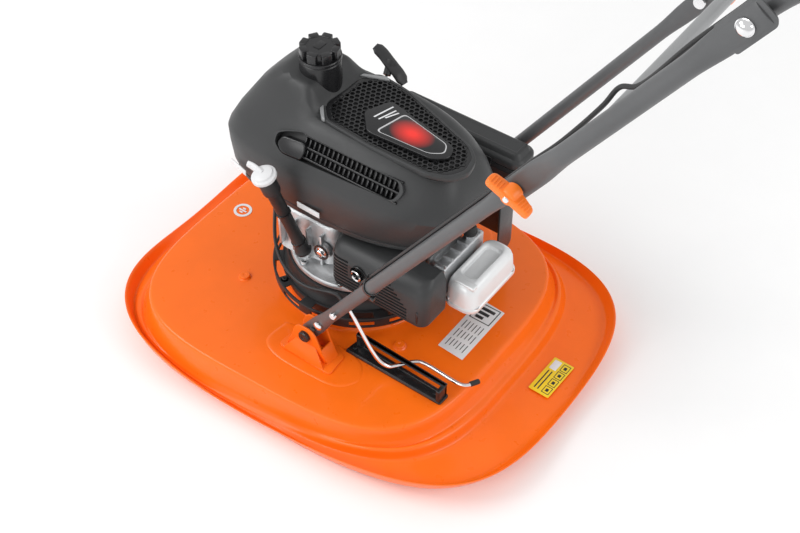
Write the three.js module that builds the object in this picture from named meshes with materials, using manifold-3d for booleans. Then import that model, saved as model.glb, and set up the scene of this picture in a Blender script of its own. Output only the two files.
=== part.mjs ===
// Hover mower: an orange air-cushion hood carrying a vertical-shaft petrol engine, with a
// tubular handle hinged on the hood. Millimetres, +Z up. The origin is on the ground under the
// crankshaft axis; +Y points back to the operator and +X to the side with the muffler.
import * as THREE from 'three';
import { mergeVertices } from 'three/addons/utils/BufferGeometryUtils.js';
import Module from 'manifold-3d';

const wasm = await Module();
wasm.setup();

// ---------------------------------------------------------------- driving dimensions
const GAP = 0.3;

// Hood. Its outlines are tapered superellipses, narrower toward the operator.
const DECK_Z = 74;
const DECK = { cx: 10.5, cy: -13.8, a: 263.6, b: 282, nFront: 3.5, nRear: 3.8, taper: -0.044 };
const RIM = { cx: 11.7, cy: 22.5, a: 289.8, b: 370.6, nFront: 3.35, nRear: 3.97, taper: -0.063 };
const RIM_Z = 27;
const RIM_CORNER_RISE = 24;
const HOOD_WALL = 3.5;
const SKIRT_LEAN = 0.97;
const NECK_R = 118;
const NECK_BORE = 104;
const NECK_Z = 99;

// Engine, measured from its mounting flange.
const RING_R = 141.5;
const RING_Z = 122;
const FLANGE_R = 112;
const FLANGE_Z = 150;
const CASE_TOP = 240;
const SHAFT_R = 12.5;
const COVER_Z = 258;
const COVER_WALL = 3;
const TOP_Z = 426;
const TOP_FALL = 0.05;
const CAP_X = -6;
const CAP_Y = -70;
const CAP_R = 31.5;
const CAP_TOP = 498;

// Rotor.
const BLADE_LENGTH = 505;
const BLADE_Z = 20;
const IMPELLER_R = 150;

// Handle. The lower arms rise and spread from the hood pivots to the fold knobs.
const PIVOT = new THREE.Vector3(170.5, 33.7, 119);
const FOLD = new THREE.Vector3(212, 400.5, 653.3);
const MIDDLE_TOP_X = 230;
const SPLICE = new THREE.Vector3(211, 619, 970);
const BAIL_Y = 744;
const BAIL_Z = 1032;
const HAND_Y = 812;
const HAND_Z = 1070;
const ARM_R = 10.2;
const TUBE_R = 12;
const BRACE_Y = 490;

// Stay rod and its guide on the deck.
const GUIDE_X = 133;
const GUIDE_FROM_Y = 84;
const GUIDE_TO_Y = 252;
const GUIDE_TOP = 102;
const ROD_Z = 92;
const ROD_R = 3;
const CABLE_R = 2.9;

// ---------------------------------------------------------------- materials
function material(color, roughness, metalness) {
  return new THREE.MeshStandardMaterial({ color, roughness, metalness });
}
const looks = {
  hood: () => material(0xf1641b, 0.28, 0),
  orange: () => material(0xf36f21, 0.4, 0),
  cover: () => material(0x3a3b3d, 0.45, 0),
  black: () => material(0x151617, 0.5, 0),
  rubber: () => material(0x1c1c1c, 0.85, 0),
  paint: () => material(0x5c5f61, 0.4, 0.3),
  alloy: () => material(0xb9bcbe, 0.42, 0.9),
  silver: () => material(0xc9ccce, 0.35, 0.6),
  steel: () => material(0xaab0b4, 0.3, 1),
  chrome: () => material(0xd8dadc, 0.12, 1),
  dark: () => material(0x2a2b2c, 0.55, 0.6),
  label: () => material(0xdfe1e2, 0.5, 0),
  yellow: () => material(0xf6cf1d, 0.5, 0),
  cap: () => material(0xd9dadb, 0.45, 0),
};

// ---------------------------------------------------------------- geometry helpers
function volumeOf(geometry) {
  const p = geometry.getAttribute('position');
  const index = geometry.index;
  const a = new THREE.Vector3();
  const b = new THREE.Vector3();
  const c = new THREE.Vector3();
  let six = 0;
  for (let i = 0; i < index.count; i += 3) {
    a.fromBufferAttribute(p, index.getX(i));
    b.fromBufferAttribute(p, index.getX(i + 1));
    c.fromBufferAttribute(p, index.getX(i + 2));
    six += a.dot(b.cross(c));
  }
  return six / 6;
}

// Merge shared vertices and make sure that the faces point out.
function closed(source) {
  const bare = source.clone();
  bare.deleteAttribute('normal');
  bare.deleteAttribute('uv');
  const merged = mergeVertices(bare, 1e-4);
  if (volumeOf(merged) < 0) {
    const list = merged.index.array;
    for (let i = 0; i < list.length; i += 3) {
      [list[i + 1], list[i + 2]] = [list[i + 2], list[i + 1]];
    }
  }
  return merged;
}

function solid(source) {
  const g = closed(source);
  return new wasm.Manifold(new wasm.Mesh({
    numProp: 3,
    vertProperties: new Float32Array(g.getAttribute('position').array),
    triVerts: new Uint32Array(g.index.array),
  }));
}

function geometryOf(body) {
  const mesh = body.getMesh();
  const g = new THREE.BufferGeometry();
  g.setAttribute('position', new THREE.BufferAttribute(new Float32Array(mesh.vertProperties), 3));
  g.setIndex(new THREE.BufferAttribute(new Uint32Array(mesh.triVerts), 1));
  return g;
}

function join(...parts) {
  let body = solid(parts[0]);
  for (const part of parts.slice(1)) body = body.add(solid(part));
  return geometryOf(body);
}

function cut(from, ...tools) {
  let body = solid(from);
  for (const tool of tools) body = body.subtract(solid(tool));
  return geometryOf(body);
}

function box(x0, x1, y0, y1, z0, z1) {
  const g = new THREE.BoxGeometry(x1 - x0, y1 - y0, z1 - z0);
  g.translate((x0 + x1) / 2, (y0 + y1) / 2, (z0 + z1) / 2);
  return g;
}

// A plate with rounded corners in plan, from z0 to z1.
function roundedPlate(x0, x1, y0, y1, z0, z1, r, steps = 3) {
  const s = new THREE.Shape();
  s.moveTo(x0 + r, y0);
  s.lineTo(x1 - r, y0);
  s.absarc(x1 - r, y0 + r, r, -Math.PI / 2, 0);
  s.lineTo(x1, y1 - r);
  s.absarc(x1 - r, y1 - r, r, 0, Math.PI / 2);
  s.lineTo(x0 + r, y1);
  s.absarc(x0 + r, y1 - r, r, Math.PI / 2, Math.PI);
  s.lineTo(x0, y0 + r);
  s.absarc(x0 + r, y0 + r, r, Math.PI, 1.5 * Math.PI);
  const g = new THREE.ExtrudeGeometry(s, { depth: z1 - z0, bevelEnabled: false, curveSegments: steps });
  g.translate(0, 0, z0);
  return g;
}

// A flat outline in plan, from z0 to z1.
function plate(points, z0, z1) {
  const s = new THREE.Shape(points.map(([x, y]) => new THREE.Vector2(x, y)));
  const g = new THREE.ExtrudeGeometry(s, { depth: z1 - z0, bevelEnabled: false });
  g.translate(0, 0, z0);
  return g;
}

// A closed (radius, height) profile turned about the Z axis through (cx, cy).
function turned(profile, segments, cx = 0, cy = 0) {
  const points = profile.map(([r, z]) => new THREE.Vector2(r, z));
  points.push(points[0].clone());
  const g = new THREE.LatheGeometry(points, segments);
  g.rotateX(Math.PI / 2);
  g.translate(cx, cy, 0);
  return g;
}

function disc(r, z0, z1, segments = 24, cx = 0, cy = 0) {
  const g = new THREE.CylinderGeometry(r, r, z1 - z0, segments);
  g.rotateX(Math.PI / 2);
  g.translate(cx, cy, (z0 + z1) / 2);
  return g;
}

function ring(rIn, rOut, z0, z1, segments = 32, cx = 0, cy = 0) {
  return turned([[rIn, z0], [rOut, z0], [rOut, z1], [rIn, z1]], segments, cx, cy);
}

// A cylinder between two points.
function rodBetween(from, to, r, segments = 12) {
  const axis = to.clone().sub(from);
  const g = new THREE.CylinderGeometry(r, r, axis.length(), segments);
  const turn = new THREE.Quaternion().setFromUnitVectors(
    new THREE.Vector3(0, 1, 0), axis.clone().normalize());
  g.applyQuaternion(turn);
  const mid = from.clone().add(to).multiplyScalar(0.5);
  g.translate(mid.x, mid.y, mid.z);
  return g;
}

function crossRod(x0, x1, y, z, r, segments = 16) {
  return rodBetween(new THREE.Vector3(x0, y, z), new THREE.Vector3(x1, y, z), r, segments);
}

// A loft through closed rings with the same number of points. 'loop' joins the last ring to the
// first; otherwise the two ends are closed.
function loft(rings, loop = false) {
  const n = rings[0].length;
  const positions = [];
  for (const r of rings) for (const p of r) positions.push(p.x, p.y, p.z);
  const index = [];
  const last = loop ? rings.length : rings.length - 1;
  for (let j = 0; j < last; j += 1) {
    const k = (j + 1) % rings.length;
    for (let i = 0; i < n; i += 1) {
      const m = (i + 1) % n;
      index.push(j * n + i, j * n + m, k * n + m);
      index.push(j * n + i, k * n + m, k * n + i);
    }
  }
  if (!loop) {
    for (const [j, flip] of [[0, true], [rings.length - 1, false]]) {
      const centre = rings[j].reduce((s, p) => s.add(p), new THREE.Vector3()).multiplyScalar(1 / n);
      const c = positions.length / 3;
      positions.push(centre.x, centre.y, centre.z);
      for (let i = 0; i < n; i += 1) {
        const m = (i + 1) % n;
        if (flip) index.push(c, j * n + m, j * n + i);
        else index.push(c, j * n + i, j * n + m);
      }
    }
  }
  const g = new THREE.BufferGeometry();
  g.setAttribute('position', new THREE.Float32BufferAttribute(positions, 3));
  g.setIndex(index);
  return closed(g);
}

// A bar swept along points. 'half' gives the half height (across X) and half thickness (along X)
// at each fraction of the way, so that a tube can end flattened.
function swept(points, half, segments = 12) {
  const rings = [];
  const total = points.length - 1;
  for (let j = 0; j <= total; j += 1) {
    const before = points[Math.max(j - 1, 0)];
    const after = points[Math.min(j + 1, total)];
    const along = after.clone().sub(before).normalize();
    const side = new THREE.Vector3(1, 0, 0).addScaledVector(along, -along.x).normalize();
    const tall = along.clone().cross(side);
    const [h, t] = half(j / total);
    const ringPoints = [];
    for (let i = 0; i < segments; i += 1) {
      const a = (2 * Math.PI * i) / segments;
      ringPoints.push(points[j].clone()
        .addScaledVector(tall, h * Math.cos(a))
        .addScaledVector(side, t * Math.sin(a)));
    }
    rings.push(ringPoints);
  }
  return loft(rings);
}

// A round cord or wire along a smooth curve through the points.
function wire(points, r, steps, segments = 8) {
  const curve = new THREE.CatmullRomCurve3(points, false, 'centripetal');
  const s = new THREE.Shape();
  for (let i = 0; i < segments; i += 1) {
    const a = (2 * Math.PI * i) / segments;
    if (i === 0) s.moveTo(r, 0);
    else s.lineTo(r * Math.cos(a), r * Math.sin(a));
  }
  return new THREE.ExtrudeGeometry(s, { steps, extrudePath: curve, bevelEnabled: false });
}

function mirrorX(g) {
  const m = g.clone();
  m.scale(-1, 1, 1);
  return closed(m);
}

function along(a, b, steps) {
  return Array.from({ length: steps + 1 }, (_, i) => a.clone().lerp(b, i / steps));
}

const group = new THREE.Group();
function add(name, geometry, look) {
  const mesh = new THREE.Mesh(closed(geometry), look());
  mesh.name = name;
  group.add(mesh);
}

// ---------------------------------------------------------------- hood
function outlinePoint(o, angle) {
  const c = Math.cos(angle);
  const s = Math.sin(angle);
  const n = s < 0 ? o.nFront : o.nRear;
  const x = Math.sign(c) * Math.abs(c) ** (2 / n);
  const y = Math.sign(s) * Math.abs(s) ** (2 / n);
  const corner = ((2 * Math.abs(x * y)) / (x * x + y * y)) ** 2;
  return { x: o.cx + o.a * x * (1 + o.taper * y), y: o.cy + o.b * y, corner };
}

function smooth(v) {
  const t = Math.min(Math.max(v, 0), 1);
  return t * t * (3 - 2 * t);
}

// The hood's section in one direction, as pairs of distance from the deck edge and height: over
// the top to the rim, then back underneath. The skirt leans inward down to the ground.
function hoodSection(width, corner) {
  const rear = smooth((width - 60) / 50);
  const rim = RIM_Z + RIM_CORNER_RISE * corner;
  const foot = Math.min(13, 0.42 * width);
  const fillet = Math.min(19, 0.55 * width);
  const stepTop = Math.min(26, 0.6 * width);
  const stepFoot = Math.min(33, 0.64 * width);
  const channel = Math.max(width - 17, 0.7 * width);
  const floor = 21 + 0.4 * RIM_CORNER_RISE * corner * corner;
  const skirtFoot = width - 1 - SKIRT_LEAN * rim;
  return {
    top: [
      [0, DECK_Z - 1.5],
      [foot, 37 + 8 * rear],
      [fillet, floor + 8 + 11 * rear],
      [stepTop, floor + 5 + 12 * rear],
      [stepFoot, floor + 2],
      [channel, floor],
      [width - 4, rim - 2],
      [width, rim],
    ],
    under: [
      [width - 0.6, rim - 4],
      [channel + 2, floor - 4],
      [channel, floor - 5],
      [skirtFoot, 0],
      [skirtFoot - 4.5, 0],
      [channel - 5, floor - 5],
      [Math.min(stepFoot - 3, channel - 6), floor - 2],
      [Math.min(fillet - 4, channel - 8), floor + 4 + 11 * rear],
      [Math.min(foot - 4, channel - 10), 34 + 8 * rear],
      [-HOOD_WALL, DECK_Z - 6],
    ],
  };
}

const HOOD_STEPS = 52;
function hoodRing(distance, height) {
  const points = [];
  for (let i = 0; i < HOOD_STEPS; i += 1) {
    const angle = (2 * Math.PI * i) / HOOD_STEPS;
    const p = outlinePoint(DECK, angle);
    const q = outlinePoint(RIM, angle);
    const dx = q.x - p.x;
    const dy = q.y - p.y;
    const width = Math.hypot(dx, dy);
    const section = hoodSection(width, q.corner);
    const d = distance(section, width);
    const t = d / width;
    points.push(new THREE.Vector3(p.x + dx * t, p.y + dy * t, height(section, width)));
  }
  return points;
}
function circleRing(r, z) {
  const points = [];
  for (let i = 0; i < HOOD_STEPS; i += 1) {
    const a = (2 * Math.PI * i) / HOOD_STEPS;
    const p = outlinePoint(DECK, a);
    const direction = Math.atan2(p.y, p.x);
    points.push(new THREE.Vector3(r * Math.cos(direction), r * Math.sin(direction), z));
  }
  return points;
}
function scaledDeckRing(scale, z) {
  return hoodRing(() => 0, () => z).map((p) => new THREE.Vector3(p.x * scale, p.y * scale, z));
}

const hoodRings = [
  circleRing(NECK_BORE, NECK_Z),
  circleRing(NECK_R - 3, NECK_Z),
  circleRing(NECK_R, NECK_Z - 4),
  circleRing(NECK_R + 5, DECK_Z),
  scaledDeckRing(0.96, DECK_Z),
];
const sampleSection = hoodSection(80, 0);
for (let k = 0; k < sampleSection.top.length; k += 1) {
  hoodRings.push(hoodRing((s) => s.top[k][0], (s) => s.top[k][1]));
}
for (let k = 0; k < sampleSection.under.length; k += 1) {
  hoodRings.push(hoodRing((s) => s.under[k][0], (s) => s.under[k][1]));
}
hoodRings.push(scaledDeckRing(0.95, DECK_Z - HOOD_WALL));
hoodRings.push(circleRing(NECK_R + 1, DECK_Z - HOOD_WALL));
hoodRings.push(circleRing(NECK_BORE, NECK_Z - 10));

const BOSSES = [[115, -149], [87, 138], [57, 100], [-95, 138], [-100, -149]];
const hoodShell = join(
  loft(hoodRings, true),
  ...BOSSES.map(([x, y]) => disc(9, DECK_Z - 2, DECK_Z + 5, 10, x, y)),
);
add('hood_shell', hoodShell, looks.hood);

// Thin plates on the hood: rating plate, warning label and a plain front emblem.
add('rating_plate', plate([[-68, 183], [52, 183], [55, 232], [-65, 232]],
  DECK_Z + GAP, DECK_Z + 0.9), looks.label);
add('front_emblem', roundedPlate(-18, 18, -268, -238, DECK_Z + GAP, DECK_Z + 1, 6), looks.label);
const warning = box(-38, 38, -18, 18, 0, 0.6);
warning.rotateZ(-0.02);
warning.translate(-34, 340, 24.4);
add('warning_label', warning, looks.yellow);

// ---------------------------------------------------------------- intake ring under the engine
const RING_SLOTS = 12;
function slotTools(rIn, rOut, width, z0, z1, count) {
  const tools = [];
  for (let i = 0; i < count; i += 1) {
    const tool = box(rIn, rOut, -width / 2, width / 2, z0, z1);
    tool.rotateZ((2 * Math.PI * (i + 0.5)) / count);
    tools.push(tool);
  }
  return tools;
}
const ringBody = turned([
  [104, NECK_Z + GAP], [122, NECK_Z + GAP], [122, RING_Z - 5], [RING_R, RING_Z - 5],
  [RING_R, RING_Z], [121, RING_Z], [116, FLANGE_Z - GAP], [104, FLANGE_Z - GAP],
], 30);
add('intake_ring', cut(ringBody,
  ...slotTools(125, 138, 34, RING_Z - 8, RING_Z + 3, RING_SLOTS),
  ...slotTools(98, 130, 36, RING_Z + 6, FLANGE_Z - 6, 6)), looks.black);

// ---------------------------------------------------------------- engine block
const caseBody = cut(
  join(
    disc(FLANGE_R, FLANGE_Z, 160, 36),
    roundedPlate(-80, 82, -98, 17, 158, CASE_TOP, 22),
    disc(14, 158, 176, 16, 86, -30),
  ),
  disc(SHAFT_R + 0.7, 140, 250, 24),
);
add('crankcase', caseBody, looks.alloy);

const finBlock = join(
  box(-40, 26, 17.4, 165, 176, 224),
  ...Array.from({ length: 8 }, (_, i) => box(-50, 36, 30 + i * 17, 35 + i * 17, 167, 233)),
);
add('cylinder_block', finBlock, looks.alloy);
add('cylinder_head', cut(
  join(
    box(-62, 42, 165.4, 180, 162, 232),
    box(-56, 36, 176, 186, 168, 226),
  ),
  disc(5.3, 222, 240, 16, -38, 176),
), looks.alloy);
add('valve_cover', cut(
  join(
    roundedPlate(-76, 50, 186.4, 243, 158, 214, 16),
    roundedPlate(-68, 42, 188, 237, 212, 222, 12),
  ),
  roundedPlate(-52, 20, 196, 230, 216, 230, 8),
), looks.silver);
add('spark_plug', join(
  disc(5, 223, 246, 12, -38, 176),
  disc(9, 232.4, 240, 6, -38, 176),
), looks.steel);
add('plug_boot', cut(
  join(
    disc(11, 240.4, 257, 16, -38, 176),
    rodBetween(new THREE.Vector3(-38, 176, 249), new THREE.Vector3(-62, 150, 247), 5),
  ),
  disc(5.4, 238, 250, 12, -38, 176),
), looks.rubber);

// ---------------------------------------------------------------- shaft, flywheel and starter
add('crankshaft', join(
  disc(SHAFT_R, 34, 292, 24),
  disc(9, 290, 297, 12),
), looks.steel);
add('flywheel', cut(
  join(disc(78, 264, 276, 24), disc(30, 256, 284, 16),
    ...Array.from({ length: 6 }, (_, i) => {
      const vane = box(40, 76, -1.5, 1.5, 274, 292);
      vane.rotateZ((2 * Math.PI * i) / 6);
      return vane;
    })),
  disc(SHAFT_R + GAP, 250, 300, 24),
), looks.alloy);

// ---------------------------------------------------------------- fuel tank, cap
const tankOuter = join(
  roundedPlate(-74, 60, -172, -44, 300, 378, 24),
  disc(27, 376, 462, 16, CAP_X, CAP_Y),
  disc(24, 460, 478, 16, CAP_X, CAP_Y),
);
const tankInner = join(
  roundedPlate(-70, 56, -168, -48, 304, 374, 20),
  disc(20.5, 370, 490, 16, CAP_X, CAP_Y),
);
add('fuel_tank', cut(tankOuter, tankInner), looks.black);
const capProfile = [
  [0, 481], [24.6, 481], [24.6, 463], [CAP_R - 1, 463], [CAP_R, 466], [CAP_R, 489],
  [CAP_R - 4, 495], [CAP_R - 6, CAP_TOP], [0, CAP_TOP],
];
add('fuel_cap', turned(capProfile, 20, CAP_X, CAP_Y), looks.black);

// The starter rope runs straight from the grip through a hole in the cover.
const GRIP = new THREE.Vector3(-128, -36, 402);
const ropeAxis = new THREE.Vector3(0.757, 0.163, -0.633).normalize();
const ropeStart = GRIP.clone().addScaledVector(ropeAxis, 19);
const ropeEnd = GRIP.clone().addScaledVector(ropeAxis, 92);

// ---------------------------------------------------------------- engine cover
function coverRing(z, x0, x1, y0, y1, nose, tail, rise = 0) {
  const cx = (x0 + x1) / 2;
  const cy = (y0 + y1) / 2;
  const a = (x1 - x0) / 2;
  const b = (y1 - y0) / 2;
  const points = [];
  for (let i = 0; i < 24; i += 1) {
    const angle = (2 * Math.PI * i) / 24;
    const c = Math.cos(angle);
    const s = Math.sin(angle);
    const x = Math.sign(c) * Math.sqrt(Math.abs(c));
    const y = Math.sign(s) * Math.sqrt(Math.abs(s));
    const narrow = y > 0 ? 1 - tail * y * y : 1 - nose * y * y;
    const py = cy + b * y;
    points.push(new THREE.Vector3(cx + a * x * narrow, py, z - rise * py));
  }
  return points;
}
function coverBody(inset) {
  return loft([
    coverRing(COVER_Z - inset * 2, -104 + inset, 88 - inset, -190 + inset, 160 - inset, 0.12, 0.3),
    coverRing(285, -110 + inset, 103 - inset, -202 + inset, 186 - inset, 0.12, 0.22),
    coverRing(345, -108 + inset, 100 - inset, -203 + inset, 208 - inset, 0.12, 0.2),
    coverRing(388 - inset, -98 + inset, 86 - inset, -192 + inset, 200 - inset, 0.14, 0.22),
    coverRing(TOP_Z - 10 - inset, -80 + inset, 66 - inset, -168 + inset, 184 - inset, 0.2, 0.26,
      TOP_FALL),
    coverRing(TOP_Z - inset, -66 + inset, 52 - inset, -148 + inset, 168 - inset, 0.25, 0.3, TOP_FALL),
  ]);
}
const GRILLE = [
  [-50, -30], [24, -34], [46, -12], [50, 60], [46, 150], [34, 178], [12, 190], [-14, 184],
  [-30, 165], [-68, 40], [-72, -6],
];
function scaledOutline(points, factor) {
  const cx = -10;
  const cy = 75;
  return points.map(([x, y]) => [cx + (x - cx) * factor, cy + (y - cy) * factor]);
}
const coverShell = cut(
  coverBody(0),
  coverBody(COVER_WALL),
  disc(28.5, 380, 470, 32, CAP_X, CAP_Y),
  plate(scaledOutline(GRILLE, 0.9), 330, 470),
  box(70, 130, -70, 140, 360, 376),
  rodBetween(ropeStart, ropeEnd, 4, 10),
);
add('engine_cover', coverShell, looks.cover);

// The grille sits in the cover's opening, on the same slope as the top.
function tilted(g, z) {
  g.rotateX(-Math.atan(TOP_FALL));
  g.translate(0, 0, z);
  return g;
}
const grilleTop = scaledOutline(GRILLE, 0.885);
const honey = [];
for (let row = 0; row < 5; row += 1) {
  for (let column = 0; column < 2; column += 1) {
    honey.push(disc(5, -20, 20, 6, column ? 38 : -46, 20 + row * 24));
  }
}
add('recoil_grille', tilted(cut(plate(grilleTop, -6, 0), ...honey), TOP_Z - 1), looks.black);
add('name_badge', tilted(plate([
  [-36, 34], [8, 16], [36, 44], [24, 150], [8, 166], [-10, 158],
], GAP, 4), TOP_Z - 1), looks.black);
add('side_louvre', join(
  box(72, 90, -69, 139, 361, 364.5),
  box(72, 88, -69, 139, 371, 375),
  box(72, 78, -69, 139, 361, 375),
), looks.black);

// ---------------------------------------------------------------- starter grip and rope
add('starter_grip', join(
  swept([
    GRIP.clone().add(new THREE.Vector3(-2, -28, 14)),
    GRIP.clone().add(new THREE.Vector3(-4, -14, 8)),
    GRIP.clone(),
    GRIP.clone().add(new THREE.Vector3(2, 16, -10)),
    GRIP.clone().add(new THREE.Vector3(4, 28, -22)),
  ], () => [6, 9], 10),
  rodBetween(GRIP.clone(), GRIP.clone().addScaledVector(ropeAxis, 18.6), 6, 10),
), looks.black);
add('starter_rope', rodBetween(ropeStart, ropeEnd, 2, 8), looks.black);

// ---------------------------------------------------------------- air cleaner and carburettor
add('air_cleaner_box', cut(
  join(
    roundedPlate(-166, -116, -30, 205, 252, 318, 12),
    box(-150, -66, 100, 132, 226.4, 254),
  ),
  roundedPlate(-162, -120, -26, 201, 256, 330, 9),
), looks.black);
add('air_cleaner_cover', join(
  roundedPlate(-167, -115, -32, 207, 318.4, 330, 13),
  roundedPlate(-160, -120, -24, 198, 328, 342, 12),
), looks.cover);
add('carburettor', join(
  box(-100, -62, 92, 140, 190, 226),
  disc(17, 166, 192, 20, -82, 116),
  rodBetween(new THREE.Vector3(-64, 116, 206), new THREE.Vector3(-50.6, 116, 206), 12),
), looks.alloy);
add('rear_air_guide', join(
  plate([[-160, 172], [-100, 186], [-100, 190], [-160, 178]], 128, 251.6),
  plate([[-164, 100], [-160, 100], [-158, 178], [-164, 176]], 128, 251.6),
), looks.cover);

// ---------------------------------------------------------------- muffler and guard
add('muffler', cut(
  join(
    roundedPlate(54, 96, 44, 178, 172, 232, 16),
    rodBetween(new THREE.Vector3(36.4, 100, 205), new THREE.Vector3(60, 100, 205), 12),
    rodBetween(new THREE.Vector3(90, 80, 214), new THREE.Vector3(114, 77, 214), 8, 16),
  ),
  rodBetween(new THREE.Vector3(84, 81, 214), new THREE.Vector3(120, 76, 214), 5.5, 12),
), looks.steel);
const guardOuter = loft([
  [168, 108, 26, 196, 14], [176, 110, 22, 199, 16], [232, 106, 22, 199, 16], [248, 92, 26, 192, 14],
].map(([z, x1, y0, y1, r]) => {
  const pts = [];
  const corner = (cx, cy, from) => {
    for (let i = 0; i <= 3; i += 1) {
      const a = from + (i * Math.PI) / 6;
      pts.push(new THREE.Vector3(cx + r * Math.cos(a), cy + r * Math.sin(a), z));
    }
  };
  corner(x1 - r, y0 + r, -Math.PI / 2);
  corner(x1 - r, y1 - r, 0);
  pts.push(new THREE.Vector3(56, y1, z), new THREE.Vector3(56, y0, z));
  return pts;
}));
const louvres = [];
for (let i = 0; i < 7; i += 1) {
  louvres.push(box(96, 120, 92, 148, 180 + i * 7, 183 + i * 7));
}
const guardInner = join(
  roundedPlate(40, 104, 28, 193, 160, 234, 12),
  roundedPlate(40, 88, 31, 187, 232, 244, 9),
);
add('muffler_guard', join(
  cut(guardOuter, guardInner, ...louvres, crossRod(100, 120, 78, 214, 13, 20)),
  box(60, 72, 90, 110, 232.4, 246),
), looks.cover);

// ---------------------------------------------------------------- dipstick
const DIP_FOOT = new THREE.Vector3(94, -38, 183);
const DIP_HEAD = new THREE.Vector3(138, -63, 352);
const dipAxis = DIP_HEAD.clone().sub(DIP_FOOT).normalize();
const dipAt = (distance) => DIP_HEAD.clone().addScaledVector(dipAxis, distance);
add('dipstick_tube', cut(
  join(
    rodBetween(DIP_FOOT, dipAt(-30), 10, 16),
    rodBetween(dipAt(-34), DIP_HEAD, 13.5, 16),
  ),
  rodBetween(dipAt(-170), dipAt(4), 6, 12),
), looks.black);
add('dipstick', join(
  rodBetween(dipAt(-150), dipAt(2), 3.2, 8),
  rodBetween(dipAt(0.4), dipAt(14), 19, 24),
  rodBetween(dipAt(10).add(new THREE.Vector3(0, -22, 5)), dipAt(10).add(new THREE.Vector3(0, -6, 2)), 6),
), looks.cap);

// ---------------------------------------------------------------- rotor under the hood
const vanes = Array.from({ length: 8 }, (_, i) => {
  const vane = box(24, IMPELLER_R - 3, -1.5, 1.5, 36, 62);
  vane.rotateZ(-0.25);
  vane.rotateZ((2 * Math.PI * i) / 8);
  return vane;
});
add('impeller', cut(
  join(disc(IMPELLER_R, 60, 63, 32), disc(30, 34.4, 66, 16), ...vanes),
  disc(SHAFT_R + GAP, 30, 70, 24),
), looks.black);
add('blade_spacer', ring(8.4, 26, BLADE_Z + 5.3, 33.7, 16), looks.black);
add('cutter_blade', cut(
  plate([
    [-BLADE_LENGTH / 2, -24], [-150, -26], [-40, -24], [40, -24], [150, -26],
    [BLADE_LENGTH / 2, -12], [BLADE_LENGTH / 2, 24], [150, 26], [40, 24], [-40, 24], [-150, 26],
    [-BLADE_LENGTH / 2, 12],
  ], BLADE_Z, BLADE_Z + 5),
  disc(8.4, BLADE_Z - 2, BLADE_Z + 7, 24),
), looks.dark);
add('blade_washer', ring(8.4, 22, BLADE_Z - 4, BLADE_Z - GAP, 16), looks.steel);
add('blade_bolt', join(
  disc(13, 7, BLADE_Z - 4.3, 6),
  disc(8, 12, 33.6, 20),
), looks.steel);

// ---------------------------------------------------------------- brackets on the hood
const bracketPlate = (x) => {
  const s = new THREE.Shape();
  s.moveTo(-2, DECK_Z + 1);
  s.lineTo(72, DECK_Z + 1);
  s.lineTo(52, PIVOT.z + 10);
  s.lineTo(44, PIVOT.z + 17);
  s.lineTo(22, PIVOT.z + 17);
  s.lineTo(14, PIVOT.z + 10);
  const g = new THREE.ExtrudeGeometry(s, { depth: 3, bevelEnabled: false });
  g.rotateY(Math.PI / 2);
  g.rotateX(Math.PI / 2);
  g.translate(x, 0, 0);
  return g;
};
const bracket = cut(
  join(
    roundedPlate(153, 194, -10, 84, DECK_Z + GAP, DECK_Z + 4, 8),
    bracketPlate(157),
    bracketPlate(182),
  ),
  crossRod(150, 200, PIVOT.y, PIVOT.z, 5.4),
);
const pin = join(
  crossRod(154, 188, PIVOT.y, PIVOT.z, 5),
  crossRod(185.4, 191, PIVOT.y, PIVOT.z, 9, 20),
  crossRod(150, 156.6, PIVOT.y, PIVOT.z, 8, 20),
);
const sides = [['left', (g) => g], ['right', mirrorX]];
for (const [side, place] of sides) {
  add(`pivot_bracket_${side}`, place(bracket), looks.hood);
  add(`pivot_pin_${side}`, place(pin), looks.black);
}

// ---------------------------------------------------------------- lower arms
const armDirection = FOLD.clone().sub(PIVOT).normalize();
const armStart = PIVOT.clone().addScaledVector(armDirection, -14);
const armEnd = FOLD.clone().addScaledVector(armDirection, 14);
const armLength = armStart.distanceTo(armEnd);
const flatEnds = (t) => {
  const fromFoot = t * armLength;
  const fromHead = (1 - t) * armLength;
  const squash = Math.max(1 - smooth((fromFoot - 40) / 50), 1 - smooth((fromHead - 40) / 60));
  return [ARM_R + 3.2 * squash, ARM_R - 4.4 * squash];
};
const armPoints = along(armStart, armEnd, 8);
const arm = cut(
  swept(armPoints, flatEnds, 8),
  crossRod(150, 192, PIVOT.y, PIVOT.z, 5.4),
  crossRod(190, 232, FOLD.y, FOLD.z, 4.4),
);
const RIVET_Y = 58;
const rivetZ = PIVOT.z + ((RIVET_Y - PIVOT.y) * armDirection.z) / armDirection.y;
const rivetX = PIVOT.x + ((RIVET_Y - PIVOT.y) * armDirection.x) / armDirection.y;

// The stay rod hangs in a hole through the left arm.
const ROD_TOP = PIVOT.clone().addScaledVector(armDirection, 110);
const rodHole = crossRod(ROD_TOP.x - 20, ROD_TOP.x + 20, ROD_TOP.y, ROD_TOP.z, ROD_R + 0.6, 12);
const rivetHole = crossRod(rivetX - 20, rivetX + 20, RIVET_Y, rivetZ, 3.6, 12);
add('lower_arm_left', cut(arm, rodHole, rivetHole), looks.paint);
add('lower_arm_right', mirrorX(cut(arm, rivetHole)), looks.paint);
const rivet = join(
  crossRod(rivetX - 10, rivetX + 10, RIVET_Y, rivetZ, 3.2, 12),
  crossRod(rivetX + 9.6, rivetX + 12, RIVET_Y, rivetZ, 7, 16),
  crossRod(rivetX - 12, rivetX - 9.6, RIVET_Y, rivetZ, 6, 16),
);
for (const [side, place] of sides) add(`arm_rivet_${side}`, place(rivet), looks.chrome);

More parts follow.
